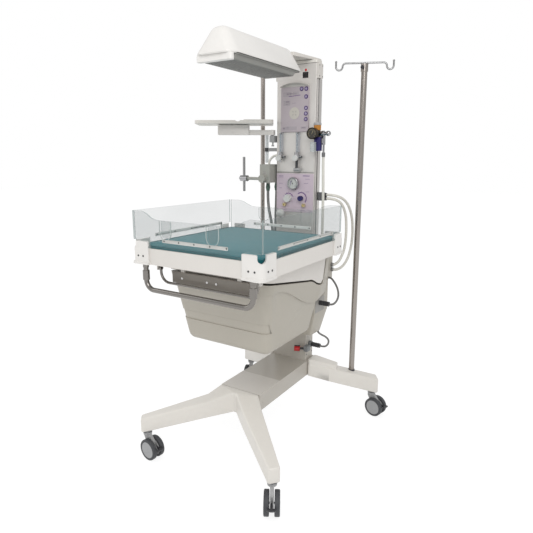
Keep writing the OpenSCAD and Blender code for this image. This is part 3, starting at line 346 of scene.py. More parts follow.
@dataclass(frozen=True)
class BrushedMetal(Finish):
    """Drawn or brushed metal: fine streaks along one axis change its tone, sheen and normal."""

    metallic: float = 1.0
    along: Point = (1.0, 1.0, 0.03)
    streaks: float = 700.0

    def build(self, surface: Surface) -> None:
        """Lays the finish on a surface.

        Args:
            surface: The material that gets it.
        """
        streak = surface.noise(self.streaks, 3.0, self.along)
        smudge = surface.noise(9.0, 4.0)
        surface.set(
            Base_Color=surface.blend(
                (streak * 0.6 + smudge * 0.4).clip(),
                tinted(self.colour, 1 - 2.5 * self.mottle),
                tinted(self.colour, 1 + 2.5 * self.mottle),
            ),
            Roughness=streak * 0.1 + smudge * 0.06 + (self.roughness - 0.08),
            Metallic=self.metallic,
        )
        surface.relief(streak, self.depth)


@dataclass(frozen=True)
class CoatedCloth(Finish):
    """Wipe-clean coated cloth: a fine weave under a soft sheen, with the shade and light of a few broad
    creases painted into its colour.
    """

    pitch: float = 0.0016

    def build(self, surface: Surface) -> None:
        """Lays the finish on a surface.

        Args:
            surface: The material that gets it.
        """
        x, y, _ = surface.axes()
        turn = 2 * math.pi / self.pitch
        weave = (x * turn).sine() * (y * turn).sine() * 0.5 + 0.5
        # Painted shade and light: broad crease noise darkens and lightens the colour as creases would under
        # light, and varies the roughness
        crease_shade = surface.noise(7.0, 5.0, (1.0, 0.6, 1.0))
        tone = crease_shade * 0.75 + weave * 0.25
        surface.set(
            Base_Color=surface.blend(
                tone.clip(), tinted(self.colour, 0.80), tinted(self.colour, 1.16)
            ),
            Roughness=crease_shade * 0.12 + (self.roughness - 0.06),
            Sheen_Weight=0.25,
            Sheen_Roughness=0.4,
        )
        surface.relief(weave * 0.25 + surface.noise(16.0, 5.0) * 3.0, 0.0011)


@dataclass(frozen=True)
class ClearSheet(Finish):
    """Clear acrylic: mostly open, with a faint tint, a wiped haze and a hard gloss."""

    opacity: float = 0.16

    def build(self, surface: Surface) -> None:
        """Lays the finish on a surface.

        Args:
            surface: The material that gets it.
        """
        haze = surface.noise(5.0, 4.0, (1.0, 1.0, 2.0))
        surface.set(
            Base_Color=surface.blend(haze, tinted(self.colour, 0.94), self.colour),
            Alpha=haze * 0.05 + (self.opacity - 0.025),
            Roughness=haze * 0.04 + self.roughness,
            IOR=1.49,
        )


@dataclass(frozen=True)
class Perforated(Finish):
    """Painted sheet with staggered round holes, whose insides are painted near-black as the shade seen
    through them.
    """

    pitch: float = 0.0058
    hole: float = 0.0019

    def build(self, surface: Surface) -> None:
        """Lays the finish on a surface.

        Args:
            surface: The material that gets it.
        """
        x, y, _ = surface.axes()
        row = self.pitch * 0.866
        near: Value | None = None
        for shift in (0.0, 0.5):
            u = surface.math("PINGPONG", x / self.pitch + shift, 0.5) * self.pitch
            v = surface.math("PINGPONG", y / (2 * row) + shift, 0.5) * (2 * row)
            apart = (u * u + v * v).root()
            near = apart if near is None else surface.math("MINIMUM", near, apart)
        metal = ((near - self.hole) / (0.12 * self.pitch)).clip()
        dust = surface.noise(30.0, 3.0)
        # Painted shade: the holes get a near-black colour for the shade behind the sheet seen through them
        surface.set(
            Base_Color=surface.blend(
                metal, (0.02, 0.02, 0.022), surface.blend(dust, tinted(self.colour, 0.9), self.colour)
            ),
            Roughness=dust * 0.1 + self.roughness,
            Metallic=self.metallic,
        )
        surface.relief(metal, 0.0005)


class Coat(Enum):
    """The warmer's finishes, by the record's material slots and the trim on them."""

    GREY_CREAM_PAINT = Finish("grey_cream_paint", (0.50, 0.47, 0.42), 0.38, coat=0.15)
    CREAM_PAINT = Finish("cream_paint", (0.74, 0.71, 0.66), 0.36, coat=0.2)
    CREAM_PLASTIC = Finish("cream_plastic", (0.72, 0.69, 0.64), 0.44)
    BEIGE_PLASTIC = Finish("beige_plastic", (0.46, 0.43, 0.37), 0.40, grain=1400.0, depth=0.00008)
    WHITE_PLASTIC = Finish("white_plastic", (0.78, 0.76, 0.73), 0.36, coat=0.1)
    ALUMINIUM = BrushedMetal(
        "anodised_aluminium", (0.68, 0.65, 0.62), 0.42, metallic=0.35, mottle=0.015, depth=0.00003
    )
    LILAC_PLASTIC = Finish("lilac_plastic", (0.45, 0.395, 0.42), 0.40)
    PURPLE_PLASTIC = Finish("purple_plastic", (0.075, 0.035, 0.16), 0.36)
    NAVY_PLASTIC = Finish("navy_plastic", (0.012, 0.008, 0.11), 0.38, coat=0.1)
    ORANGE_PLASTIC = Finish("orange_plastic", (0.50, 0.20, 0.015), 0.36, coat=0.1)
    DARK_PLASTIC = Finish("dark_plastic", (0.035, 0.035, 0.04), 0.40)
    WHITE_RUBBER = Finish("white_rubber", (0.70, 0.68, 0.62), 0.38, coat=0.2)
    TYRE_GREY = Finish("tyre_grey", (0.055, 0.057, 0.062), 0.58, mottle=0.12, depth=0.00012)
    DARK_STEEL = Finish("dark_steel", (0.16, 0.16, 0.165), 0.40, metallic=0.3)
    TUBE_STEEL = BrushedMetal("tube_steel", (0.25, 0.235, 0.22), 0.22, depth=0.00002)
    POLISHED_STEEL = BrushedMetal("polished_steel", (0.66, 0.66, 0.66), 0.20, depth=0.00001)
    GRILLE_STEEL = Perforated("grille_steel", (0.46, 0.45, 0.42), 0.45, metallic=0.1)
    TEAL_COVER = CoatedCloth("teal_cover", (0.006, 0.195, 0.230), 0.50)
    CLEAR_PLASTIC = ClearSheet("clear_plastic", (0.22, 0.265, 0.265), 0.06, opacity=0.13)
    PALE_PAINT = Finish("cream_paint", (0.66, 0.63, 0.59), 0.38, coat=0.2)
    RAIL_PAINT = Finish("cream_paint", (0.72, 0.69, 0.65), 0.40, coat=0.15)
    HOOD_WHITE = Finish("white_plastic", (0.80, 0.78, 0.75), 0.34, coat=0.25)
    RED_CAP = Finish("dark_plastic", (0.52, 0.01, 0.015), 0.30, coat=0.4)
    SOCKET_GREY = Finish("dark_plastic", (0.20, 0.21, 0.215), 0.42)
    SIDE_PLATE = Finish("beige_plastic", (0.36, 0.35, 0.33), 0.40)
    # Painted shade: the tub's recessed band is coloured darker beige for the shade that falls in the recess
    TUB_BAND_SHADE = Finish("beige_plastic", (0.36, 0.34, 0.30), 0.40, grain=1400.0, depth=0.00008)
    BRACKET_STEEL = Finish("dark_steel", (0.27, 0.245, 0.215), 0.38, metallic=0.2)
    FORK_GREY = Finish("grey_plastic", (0.36, 0.36, 0.36), 0.42)
    DISC_GREY = Finish("tyre_grey", (0.36, 0.365, 0.37), 0.40)
    SCREW_DARK = Finish("dark_steel", (0.05, 0.05, 0.05), 0.36, metallic=0.4)
    TEAL_SEAM = Finish("teal_cover", (0.010, 0.120, 0.145), 0.5)
    PANEL_EDGE = ClearSheet("clear_plastic", (0.34, 0.41, 0.40), 0.10, opacity=0.66)
    TAB_RIM = ClearSheet("clear_plastic", (0.66, 0.71, 0.69), 0.16, opacity=0.75)
    STRIP_WHITE = Finish("clear_plastic", (0.74, 0.73, 0.70), 0.38)
    BLACK_GLASS = Finish("dark_plastic", (0.006, 0.006, 0.008), 0.12, coat=1.0)
    RAIL_STEEL = BrushedMetal("dark_steel", (0.60, 0.58, 0.56), 0.34)
    SEAM = Finish("anodised_aluminium", (0.14, 0.135, 0.13), 0.6)
    CREAM_PAD = Finish("lilac_plastic", (0.53, 0.50, 0.45), 0.5)
    DISPLAY = Finish("lilac_plastic", (0.40, 0.355, 0.38), 0.16, coat=0.6)
    PAD_MARK = Finish("lilac_plastic", (0.42, 0.395, 0.36), 0.5)
    VISOR_GREY = Finish("lilac_plastic", (0.50, 0.48, 0.45), 0.4)
    KEY_MARK = Finish("purple_plastic", (0.62, 0.58, 0.68), 0.4)
    PRINT_GREY = Finish("lilac_plastic", (0.19, 0.15, 0.19), 0.5)
    PRINT_DARK = Finish("grey_plastic", (0.05, 0.05, 0.06), 0.5)
    ARC_PURPLE = Finish("purple_plastic", (0.12, 0.05, 0.20), 0.45)
    PANEL_LAVENDER = Finish("lilac_plastic", (0.60, 0.50, 0.565), 0.42)
    SCALE_GLASS = Finish("lilac_plastic", (0.30, 0.34, 0.38), 0.14, coat=0.7)
    TUBE_GLASS = ClearSheet("lilac_plastic", (0.72, 0.76, 0.78), 0.08, opacity=0.2)
    CHANNEL_GREY = Finish("lilac_plastic", (0.46, 0.46, 0.48), 0.35)
    CLEAR_TUBE = ClearSheet("lilac_plastic", (0.62, 0.66, 0.67), 0.12, opacity=0.5)
    CHROME = BrushedMetal("polished_steel", (0.40, 0.40, 0.41), 0.16, depth=0.00001)
    KNOB_WHITE = Finish("white_plastic", (0.62, 0.62, 0.60), 0.30, coat=0.2)
    GOLD = BrushedMetal("polished_steel", (0.66, 0.57, 0.36), 0.26)
    BRASS = BrushedMetal("polished_steel", (0.05, 0.043, 0.032), 0.34)
    DARK_DIAL = Finish("grey_plastic", (0.03, 0.027, 0.022), 0.45)
    DIAL = Finish("grey_plastic", (0.52, 0.53, 0.51), 0.4)
    TRAY_GREY = Finish("grille_steel", (0.29, 0.285, 0.265), 0.42)
    POLE_STEEL = BrushedMetal("tube_steel", (0.34, 0.31, 0.285), 0.26, depth=0.00002)
    HOOK_STEEL = BrushedMetal("polished_steel", (0.32, 0.32, 0.32), 0.24, depth=0.00001)
    BOX_CREAM = Finish("grey_plastic", (0.37, 0.365, 0.33), 0.42)
    NUT_GREEN = Finish("dark_rubber", (0.05, 0.10, 0.075), 0.4)
    CABLE_GREY = Finish("dark_rubber", (0.17, 0.165, 0.16), 0.48, mottle=0.08)


_materials: dict[str, bpy.types.Material] = {}


def material_of(coat: Coat) -> bpy.types.Material:
    """The one material of a finish, made when it is first asked for."""
    if coat.name not in _materials:
        surface = Surface(coat.name.lower())
        coat.value.build(surface)
        _materials[coat.name] = surface.material
    return _materials[coat.name]


def spot(x: float, y: float, z: float) -> Vector:
    """A point in metres from millimetres, the height counted from the datum under the floor."""
    return Vector((x * MM, y * MM, (z - DATUM) * MM))


def smoothed(mesh: bpy.types.Mesh, angle: float = 35.0) -> None:
    """Shades a mesh smooth, apart from edges sharper than the angle in degrees."""
    mesh.shade_smooth()
    mesh.set_sharp_from_angle(angle=math.radians(angle))


def rounded(width: float, height: float, radius: float, steps: int = 5) -> list[Plane]:
    """Outline of a rectangle with round corners about its middle.

    Args:
        width: Full width in millimetres.
        height: Full height in millimetres.
        radius: Corner radius in millimetres.
        steps: Chords in a corner.

    Returns:
        The outline's points, anticlockwise.
    """
    points: list[Plane] = []
    for quarter, (sx, sy) in enumerate(((1, 1), (-1, 1), (-1, -1), (1, -1))):
        for step in range(steps + 1):
            turn = math.radians(90 * (quarter + step / steps))
            points.append(
                (
                    sx * (width / 2 - radius) + radius * math.cos(turn),
                    sy * (height / 2 - radius) + radius * math.sin(turn),
                )
            )
    return points


def moved(outline: Iterable[Plane], x: float, y: float) -> list[Plane]:
    """The outline shifted in its plane."""
    return [(p[0] + x, p[1] + y) for p in outline]


def bar(x: float, y: float, width: float, height: float) -> list[Plane]:
    """A plain mark's outline about a middle."""
    return moved(rounded(width, height, min(width, height) * 0.3, 2), x, y)


def print_rows(rows: Iterable[tuple[int, float, float, float, float, float]]) -> list[list[Plane]]:
    """Rows of plain marks that stand for lines of small print.

    Args:
        rows: Each row's count of marks, first middle and step across, height, mark width and height.

    Returns:
        The marks' outlines, row by row.
    """
    return [
        bar(start + step * i, height, wide, tall)
        for count, start, step, height, wide, tall in rows
        for i in range(count)
    ]


def ray(x: float, y: float, angle: float, inner: float, outer: float, width: float) -> list[Plane]:
    """Outline of one straight mark that points away from a centre.

    Args:
        x: The centre's first coordinate.
        y: The centre's second coordinate.
        angle: Direction in degrees, from the right, anticlockwise.
        inner: Distance from the centre to the mark's near end.
        outer: Distance to its far end.
        width: The mark's width.

    Returns:
        The four corners.
    """
    c, s = math.cos(math.radians(angle)), math.sin(math.radians(angle))
    half = width / 2
    corners = ((inner, -half), (outer, -half), (outer, half), (inner, half))
    return [(x + a * c - b * s, y + a * s + b * c) for a, b in corners]


def band(x: float, y: float, inner: float, outer: float, start: float, end: float) -> list[Plane]:
    """Outline of a part of a ring.

    Args:
        x: The centre's first coordinate.
        y: The centre's second coordinate.
        inner: Inner radius.
        outer: Outer radius.
        start: First angle in degrees.
        end: Last angle in degrees, larger than the first.

    Returns:
        The outline's points, anticlockwise.
    """
    turns = [math.radians(start + (end - start) * i / 20) for i in range(21)]
    out = [(x + outer * math.cos(t), y + outer * math.sin(t)) for t in turns]
    back = [(x + inner * math.cos(t), y + inner * math.sin(t)) for t in reversed(turns)]
    return out + back


class Facing(Enum):
    """Where a plate looks: its right, up and inward directions."""

    FRONT = ((1, 0, 0), (0, 0, 1), (0, 1, 0))
    RIGHT = ((0, 1, 0), (0, 0, 1), (-1, 0, 0))
    UP = ((1, 0, 0), (0, 1, 0), (0, 0, -1))


@dataclass(frozen=True)
class Box:
    """The faces of a node that lie inside a box, in millimetres from the datum."""

    coat: Coat
    low: Point
    high: Point

    def holds(self, corners: Sequence[Vector], normal: Vector) -> bool:
        """Whether a face with these corners has this finish."""
        low, high = spot(*self.low), spot(*self.high)
        return all(low[i] <= p[i] <= high[i] for p in corners for i in range(3))


@dataclass(frozen=True)
class Turned:
    """The faces of a node within a distance of an axis."""

    coat: Coat
    at: Vector
    axis: Vector
    outer: float

    def holds(self, corners: Sequence[Vector], normal: Vector) -> bool:
        """Whether a face with these corners has this finish."""
        for p in corners:
            away = p - self.at
            if (away - away.dot(self.axis) * self.axis).length > self.outer * MM:
                return False
        return True


@dataclass(frozen=True)
class Edges:
    """The narrow faces of a sheet, whose normals lie in its plane."""

    coat: Coat
    axis: Vector

    def holds(self, corners: Sequence[Vector], normal: Vector) -> bool:
        """Whether a face with this normal has this finish."""
        return abs(normal.dot(self.axis)) < 0.2


Region = Box | Turned | Edges


@dataclass
class Refined:
    """A copy of a CAD node with clean faces, softened edges and a finish for each region."""

    node: str
    coat: Coat
    regions: tuple[Region, ...] = ()
    bevel: float = 1.2
    angle: float = SHARP

    def build(self) -> bpy.types.Object:
        """Makes the copy, hangs it on the node's body and puts it in the node's place.

        Returns:
            The new object.
        """
        source = frame["nodes"][self.node]
        mesh = source.data.copy()
        mesh.materials.clear()
        shape = bmesh.new()
        shape.from_mesh(mesh)
        bmesh.ops.remove_doubles(shape, verts=shape.verts, dist=SAME_POINT)
        bmesh.ops.dissolve_limit(
            shape, angle_limit=math.radians(FLAT), verts=shape.verts, edges=shape.edges
        )
        coats = [self.coat]
        for face in shape.faces:
            face.material_index = 0
            corners = [v.co for v in face.verts]
            for region in self.regions:
                if region.holds(corners, face.normal):
                    if region.coat not in coats:
                        coats.append(region.coat)
                    face.material_index = coats.index(region.coat)
        shape.to_mesh(mesh)
        shape.free()
        piece = bpy.data.objects.new(f"{self.node}_dressed", mesh)
        bpy.context.scene.collection.objects.link(piece)
        for coat in coats:
            mesh.materials.append(material_of(coat))
        smoothed(mesh, self.angle)
        if self.bevel > 0:
            soften(piece, self.bevel, self.angle)
        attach(piece, source["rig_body"])
        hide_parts(self.node)
        log.info("refined %s", self.node)
        return piece


def soften(piece: bpy.types.Object, width: float, angle: float = SHARP) -> None:
    """Adds a small bevel to a piece's sharp edges.

    Args:
        piece: The object.
        width: The bevel's width in millimetres.
        angle: The least angle of a sharp edge, in degrees.
    """
    soft = piece.modifiers.new("soft_edges", "BEVEL")
    soft.width = width * MM
    soft.segments = 2
    soft.limit_method = "ANGLE"
    soft.angle_limit = math.radians(angle)
    soft.use_clamp_overlap = True
    soft.harden_normals = True


@dataclass(frozen=True)
class Bench:
    """Makes new pieces that ride on one body."""

    body: str

    def hang(
        self, name: str, data: bpy.types.Mesh | bpy.types.Curve, coat: Coat, bevel: float = 0.0
    ) -> bpy.types.Object:
        """Puts a mesh or curve in the scene as a piece of this body.

        Args:
            name: The piece's name.
            data: Its mesh or curve.
            coat: Its finish.
            bevel: Width of the bevel on its edges, in millimetres.

        Returns:
            The new object.
        """
        piece = bpy.data.objects.new(name, data)
        bpy.context.scene.collection.objects.link(piece)
        data.materials.append(material_of(coat))
        if bevel > 0:
            soften(piece, bevel)
        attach(piece, self.body)
        log.info("made %s", name)
        return piece

    def mesh(
        self, name: str, points: Sequence[Vector], faces: Sequence[Sequence[int]], angle: float = 35.0
    ) -> bpy.types.Mesh:
        """A mesh from points and faces, its normals made consistent.

        Args:
            name: The mesh's name.
            points: Its points in metres.
            faces: Each face's point numbers.
            angle: The least angle of a sharp edge, in degrees.

        Returns:
            The mesh.
        """
        made = bpy.data.meshes.new(name)
        made.from_pydata(points, [], faces)
        shape = bmesh.new()
        shape.from_mesh(made)
        bmesh.ops.recalc_face_normals(shape, faces=shape.faces)
        shape.to_mesh(made)
        shape.free()
        smoothed(made, angle)
        return made

    def plates(
        self,
        name: str,
        outlines: Sequence[Sequence[Plane]],
        at: Point,
        depth: float,
        coat: Coat,
        facing: Facing = Facing.FRONT,
        bevel: float = 0.0,
    ) -> bpy.types.Object:
        """Flat pieces of one thickness as one object.

        Args:
            name: The object's name.
            outlines: Outlines in the plane's right and up directions, in millimetres.
            at: Point in the front plane that the outlines are drawn about.
            depth: Thickness inward from the front plane.
            coat: The finish.
            facing: Where the plates look.
            bevel: Width of the bevel on the edges, in millimetres.

        Returns:
            The new object.
        """
        right, up, inward = (Vector(d) for d in facing.value)
        points: list[Vector] = []
        faces: list[list[int]] = []
        for outline in outlines:
            base = len(points)
            count = len(outline)
            for level in (0.0, depth):
                points += [
                    spot(*at) + (right * a + up * b + inward * level) * MM for a, b in outline
                ]
            faces.append(list(range(base, base + count)))
            faces.append(list(range(base + 2 * count - 1, base + count - 1, -1)))
            for i in range(count):
                j = (i + 1) % count
                faces.append([base + i, base + count + i, base + count + j, base + j])
        return self.hang(name, self.mesh(name, points, faces), coat, bevel)

    def turned(
        self,
        name: str,
        profile: Sequence[Plane],
        at: Point,
        axis: Point,
        coat: Coat,
        steps: int = 40,
    ) -> bpy.types.Object:
        """A profile turned about an axis, closed where the profile meets it.

        Args:
            name: The object's name.
            profile: Pairs of radius and distance along the axis, in millimetres.
            at: Start of the axis.
            axis: Direction of the axis.
            coat: The finish.
            steps: Chords in a turn.

        Returns:
            The new object.
        """
        along = Vector(axis).normalized()
        side = along.orthogonal().normalized()
        other = along.cross(side)
        points: list[Vector] = []
        for radius, height in profile:
            for i in range(steps):
                turn = 2 * math.pi * i / steps
                away = (side * math.cos(turn) + other * math.sin(turn)) * max(radius, 0.001)
                points.append(spot(*at) + (along * height + away) * MM)
        faces: list[list[int]] = []
        for low in range(0, (len(profile) - 1) * steps, steps):
            for i in range(steps):
                j = (i + 1) % steps
                faces.append([low + i, low + j, low + steps + j, low + steps + i])
        return self.hang(name, self.mesh(name, points, faces), coat)

    def lofted(
        self, name: str, rings: Sequence[Sequence[Vector]], coat: Coat, bevel: float = 0.0
    ) -> bpy.types.Object:
        """A skin through rings of the same number of points, closed by the first and last ring.

        Args:
            name: The object's name.
            rings: The rings, each a list of points in metres.
            coat: The finish.
            bevel: Width of the bevel on the edges, in millimetres.

        Returns:
            The new object.
        """
        count = len(rings[0])
        faces: list[list[int]] = [list(range(count))]
        for r in range(len(rings) - 1):
            for i in range(count):
                j = (i + 1) % count
                low, high = r * count, (r + 1) * count
                faces.append([low + i, low + j, high + j, high + i])
        last = (len(rings) - 1) * count
        faces.append([last + i for i in range(count)])
        points = [p for ring in rings for p in ring]
        return self.hang(name, self.mesh(name, points, faces), coat, bevel)

    def wire(
        self, name: str, points: Sequence[Vector], radius: float, coat: Coat, closed: bool = False
    ) -> bpy.types.Object:
        """A round wire or hose along points.

        Args:
            name: The object's name.
            points: The middle line in metres.
            radius: Radius in millimetres.
            coat: The finish.
            closed: Whether the line is a loop.

        Returns:
            The new object.
        """
        curve = bpy.data.curves.new(name, "CURVE")
        curve.dimensions = "3D"
        curve.bevel_depth = radius * MM
        curve.bevel_resolution = 5
        curve.use_fill_caps = not closed
        line = curve.splines.new("POLY")
        line.points.add(len(points) - 1)
        for place, point in zip(line.points, points):
            place.co = (*point, 1.0)
        line.use_cyclic_u = closed
        line.use_smooth = True
        return self.hang(name, curve, coat)

    def screws(
        self, name: str, places: Sequence[Point], axis: Point, radius: float, coat: Coat
    ) -> None:
        """Socket screws with a small recess, one object for each.

        Args:
            name: Start of the objects' names.
            places: Where the heads stand.
            axis: The way they look.
            radius: Radius of a head in millimetres.
            coat: The finish.
        """
        profile = [
            (0, 0.5), (radius * 0.42, 0.5), (radius * 0.45, 1.3), (radius * 0.85, 1.4),
            (radius, 0.9), (radius, 0.0), (0, 0),
        ]
        for i, place in enumerate(places):
            self.turned(f"{name}_{i + 1}", profile, place, axis, coat, 16)


def flowing(route: Sequence[Point], steps: int = 5) -> list[Vector]:
    """A smooth line through a route's points.

    Args:
        route: The points in millimetres from the datum.
        steps: Chords between two points.

    Returns:
        The denser line in metres.
    """
    p = [spot(*q) for q in route]
    p = [2 * p[0] - p[1], *p, 2 * p[-1] - p[-2]]
    line: list[Vector] = []
    for i in range(1, len(p) - 2):
        for step in range(steps):
            t = step / steps
            line.append(
                0.5
                * (
                    2 * p[i]
                    + (p[i + 1] - p[i - 1]) * t
                    + (2 * p[i - 1] - 5 * p[i] + 4 * p[i + 1] - p[i + 2]) * t * t
                    + (3 * p[i] - p[i - 1] - 3 * p[i + 1] + p[i + 2]) * t**3
                )
            )
    line.append(p[-2])
    return line


@dataclass(frozen=True)
class Hose:
    """One hose or lead between two places on the warmer."""

    name: str
    route: tuple[Point, ...]
    radius: float
    coat: Coat
    stiffness: str
    lay: str

    def build(self) -> bpy.types.Object:
        """Returns:
            The hose's object.
        """
        line = flowing(self.route)
        piece = Bench("base").wire(self.name, line, self.radius, self.coat)
        length = sum((b - a).length for a, b in zip(line, line[1:]))
        return piece


@dataclass(frozen=True)
class Hoses:
    """The gas hoses at the right and the dark hoses and leads."""

    gas_radius: float = 7.0
    dark_radius: float = 7.5
    clear_radius: float = 6.0
    lead_radius: float = 5.0

    def build(self) -> None:
        """Lays every hose and lead and lets them stand for their CAD nodes."""
        pale, dark = Coat.WHITE_RUBBER, Coat.CABLE_GREY
        for node, hoses in (
            ("gas_hoses", (
                Hose("hose_regulator", HOSE_A, self.gas_radius, pale, "medium", "taut"),
                Hose("hose_upper_loop", HOSE_B, self.gas_radius, pale, "medium", "hanging"),
                Hose("hose_lower_loop", HOSE_C, self.gas_radius, pale, "medium", "hanging"),
                Hose("hose_meter", HOSE_F, self.clear_radius, pale, "limp", "loose"),
            )),
            ("leads_and_hoses", (
                Hose("hose_box_front", HOSE_D, self.dark_radius, dark, "medium", "loose"),
                Hose("hose_box_rear", HOSE_E, self.dark_radius, dark, "medium", "taut"),
                Hose("lead_upper", LEAD_UP, self.lead_radius, dark, "limp", "loose"),
                Hose("lead_lower", LEAD_LOW, self.lead_radius, dark, "limp", "loose"),
            )),
        ):
            for piece in [hose.build() for hose in hoses]:
                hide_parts(node)


@dataclass(frozen=True)
class Studio:
    """The camera at the photograph's place, a pale floor and plain soft light."""

    eye: Point = (1.264, -1.960, 1.403)
    yaw: float = 32.214
    pitch: float = 12.397
    roll: float = 0.2136
    focal_px: float = 491.449
    frame_px: float = 533.0
    sensor_mm: float = 36.0
    floor_side: float = 40.0
    floor_glow: float = 1.15
    floor_white: float = 0.75
    world_light: float = 0.72
    aim: Point = (0.0, 0.0, 0.9)

    def camera(self) -> None:
        """Adds the camera and makes it the scene's."""
        yaw, pitch, roll = (math.radians(a) for a in (self.yaw, self.pitch, self.roll))
        look = Vector(
            (-math.sin(yaw) * math.cos(pitch), math.cos(yaw) * math.cos(pitch), -math.sin(pitch))
        )
        right = Vector((math.cos(yaw), math.sin(yaw), 0.0))
        up = right.cross(look)
        right, up = (
            math.cos(roll) * right + math.sin(roll) * up,
            -math.sin(roll) * right + math.cos(roll) * up,
        )
        data = bpy.data.cameras.new("photo_view")
        data.sensor_width = self.sensor_mm
        data.lens = self.focal_px / self.frame_px * self.sensor_mm
        camera = bpy.data.objects.new("photo_view", data)
        turn = Matrix((right, up, -look)).transposed().to_4x4()
        camera.matrix_world = Matrix.Translation(self.eye) @ turn
        bpy.context.scene.collection.objects.link(camera)
        bpy.context.scene.camera = camera

    def floor(self) -> None:
        """Adds the floor: white to the camera, with a soft shadow left in it."""
        bpy.ops.mesh.primitive_plane_add(size=self.floor_side)
        plane = bpy.context.object
        plane.name = "studio_floor"
        surface = Surface("studio_floor")
        surface.set(Base_Color=(0.88, 0.88, 0.88), Roughness=0.9)
        path = surface.node("ShaderNodeLightPath")
        seen = surface.math(
            "MAXIMUM",
            Value(surface, path.outputs["Is Camera Ray"]),
            Value(surface, path.outputs["Is Glossy Ray"]),
        )
        seen = surface.math("MAXIMUM", seen, Value(surface, path.outputs["Is Transmission Ray"]))
        white = surface.node(
            "ShaderNodeEmission", None, {"Color": (1.0, 1.0, 1.0), "Strength": self.floor_glow}
        )
        mixed = surface.node(
            "ShaderNodeMixShader", None,
            {0: seen * self.floor_white, 1: surface.shader.outputs[0], 2: white.outputs[0]},
        )
        surface.tree.links.new(mixed.outputs[0], surface.output.inputs["Surface"])
        plane.data.materials.append(surface.material)

    def light(self) -> None:
        """Adds an even white world and two broad, soft lamps."""
        world = bpy.data.worlds.new("studio")
        bpy.context.scene.world = world
        world.use_nodes = True
        tree = world.node_tree
        back = tree.nodes["Background"]
        path = tree.nodes.new("ShaderNodeLightPath")
        seen = tree.nodes.new("ShaderNodeMath")
        seen.operation = "MAXIMUM"
        tree.links.new(path.outputs["Is Camera Ray"], seen.inputs[0])
        tree.links.new(path.outputs["Is Transmission Ray"], seen.inputs[1])
        strength = tree.nodes.new("ShaderNodeMapRange")
        tree.links.new(seen.outputs[0], strength.inputs["Value"])
        strength.inputs["To Min"].default_value = self.world_light
        strength.inputs["To Max"].default_value = 1.0
        tree.links.new(strength.outputs[0], back.inputs["Strength"])
        back.inputs["Color"].default_value = (1.0, 1.0, 1.0, 1.0)
        self.lamp("key", (1.9, -2.6, 3.4), size=2.2, watts=60.0)
        self.lamp("fill", (-2.8, -1.4, 2.2), size=2.4, watts=14.0)

    def lamp(self, name: str, at: Point, size: float, watts: float) -> None:
        """Adds one square area lamp aimed at the warmer.

        Args:
            name: The lamp's name.
            at: Where it stands, in metres.
            size: The side of the square in metres.
            watts: Its power.
        """
        data = bpy.data.lights.new(name, "AREA")
        data.size = size
        data.energy = watts
        lamp = bpy.data.objects.new(name, data)
        lamp.location = at
        lamp.rotation_euler = (Vector(self.aim) - Vector(at)).to_track_quat("-Z", "Y").to_euler()
        bpy.context.scene.collection.objects.link(lamp)

    def build(self) -> None:
        """Sets up the floor and the light."""
        self.floor()
        self.light()
        bpy.context.scene.view_settings.view_transform = "Standard"


@dataclass(frozen=True)
class Base:
    """Beam, legs, pedestal and the plugs at its side."""

    rib: tuple[Plane, ...] = ((12.1, 0), (13.0, 0.8), (13.0, 3.2), (12.1, 4))

    def build(self) -> None:
        """Dresses the base's nodes and adds its screws and the rib rings on its plug and lead."""
        # Painted light: the top of the beam's front cover plate is coloured paler than the beam, for the
        # light on the front while the tub's shadow darkens the rear
        lit_cover = Box(Coat.PALE_PAINT, (-115, -190, 339.5), (115, 2, 341))
        Refined("base_beam", Coat.GREY_CREAM_PAINT, (lit_cover,)).build()
        Refined("pedestal", Coat.GREY_CREAM_PAINT).build()
        Refined("front_legs", Coat.CREAM_PAINT, bevel=4.0, angle=30).build()
        Refined("rear_legs", Coat.CREAM_PAINT, bevel=4.0, angle=30).build()
        socket = Box(Coat.SOCKET_GREY, (99, 265, 401), (124.5, 301, 433))
        plug = Box(Coat.SOCKET_GREY, (99, 310, 405), (114.5, 360, 445))
        cap = Box(Coat.RED_CAP, (55, 235, 399), (99.6, 300, 434))
        stem = Box(Coat.RED_CAP, (124.4, 200, 380), (200, 300, 450))
        Refined("fittings", Coat.DARK_PLASTIC, (socket, plug, cap, stem)).build()
        bench = Bench("base")
        bench.screws(
            "beam_screw", [(x, -205, 318) for x in (-62, 62)], (0, -1, 0), 5, Coat.POLISHED_STEEL
        )
        for name, xs, y, z in (
            ("plug_rib", (126, 138, 150), 334, 425),
            ("lead_rib", (214, 226, 238), 232, 702),
        ):
            for i, x in enumerate(xs):
                bench.turned(f"{name}_{i + 1}", self.rib, (x, y, z), ALONG_X, Coat.DARK_PLASTIC)


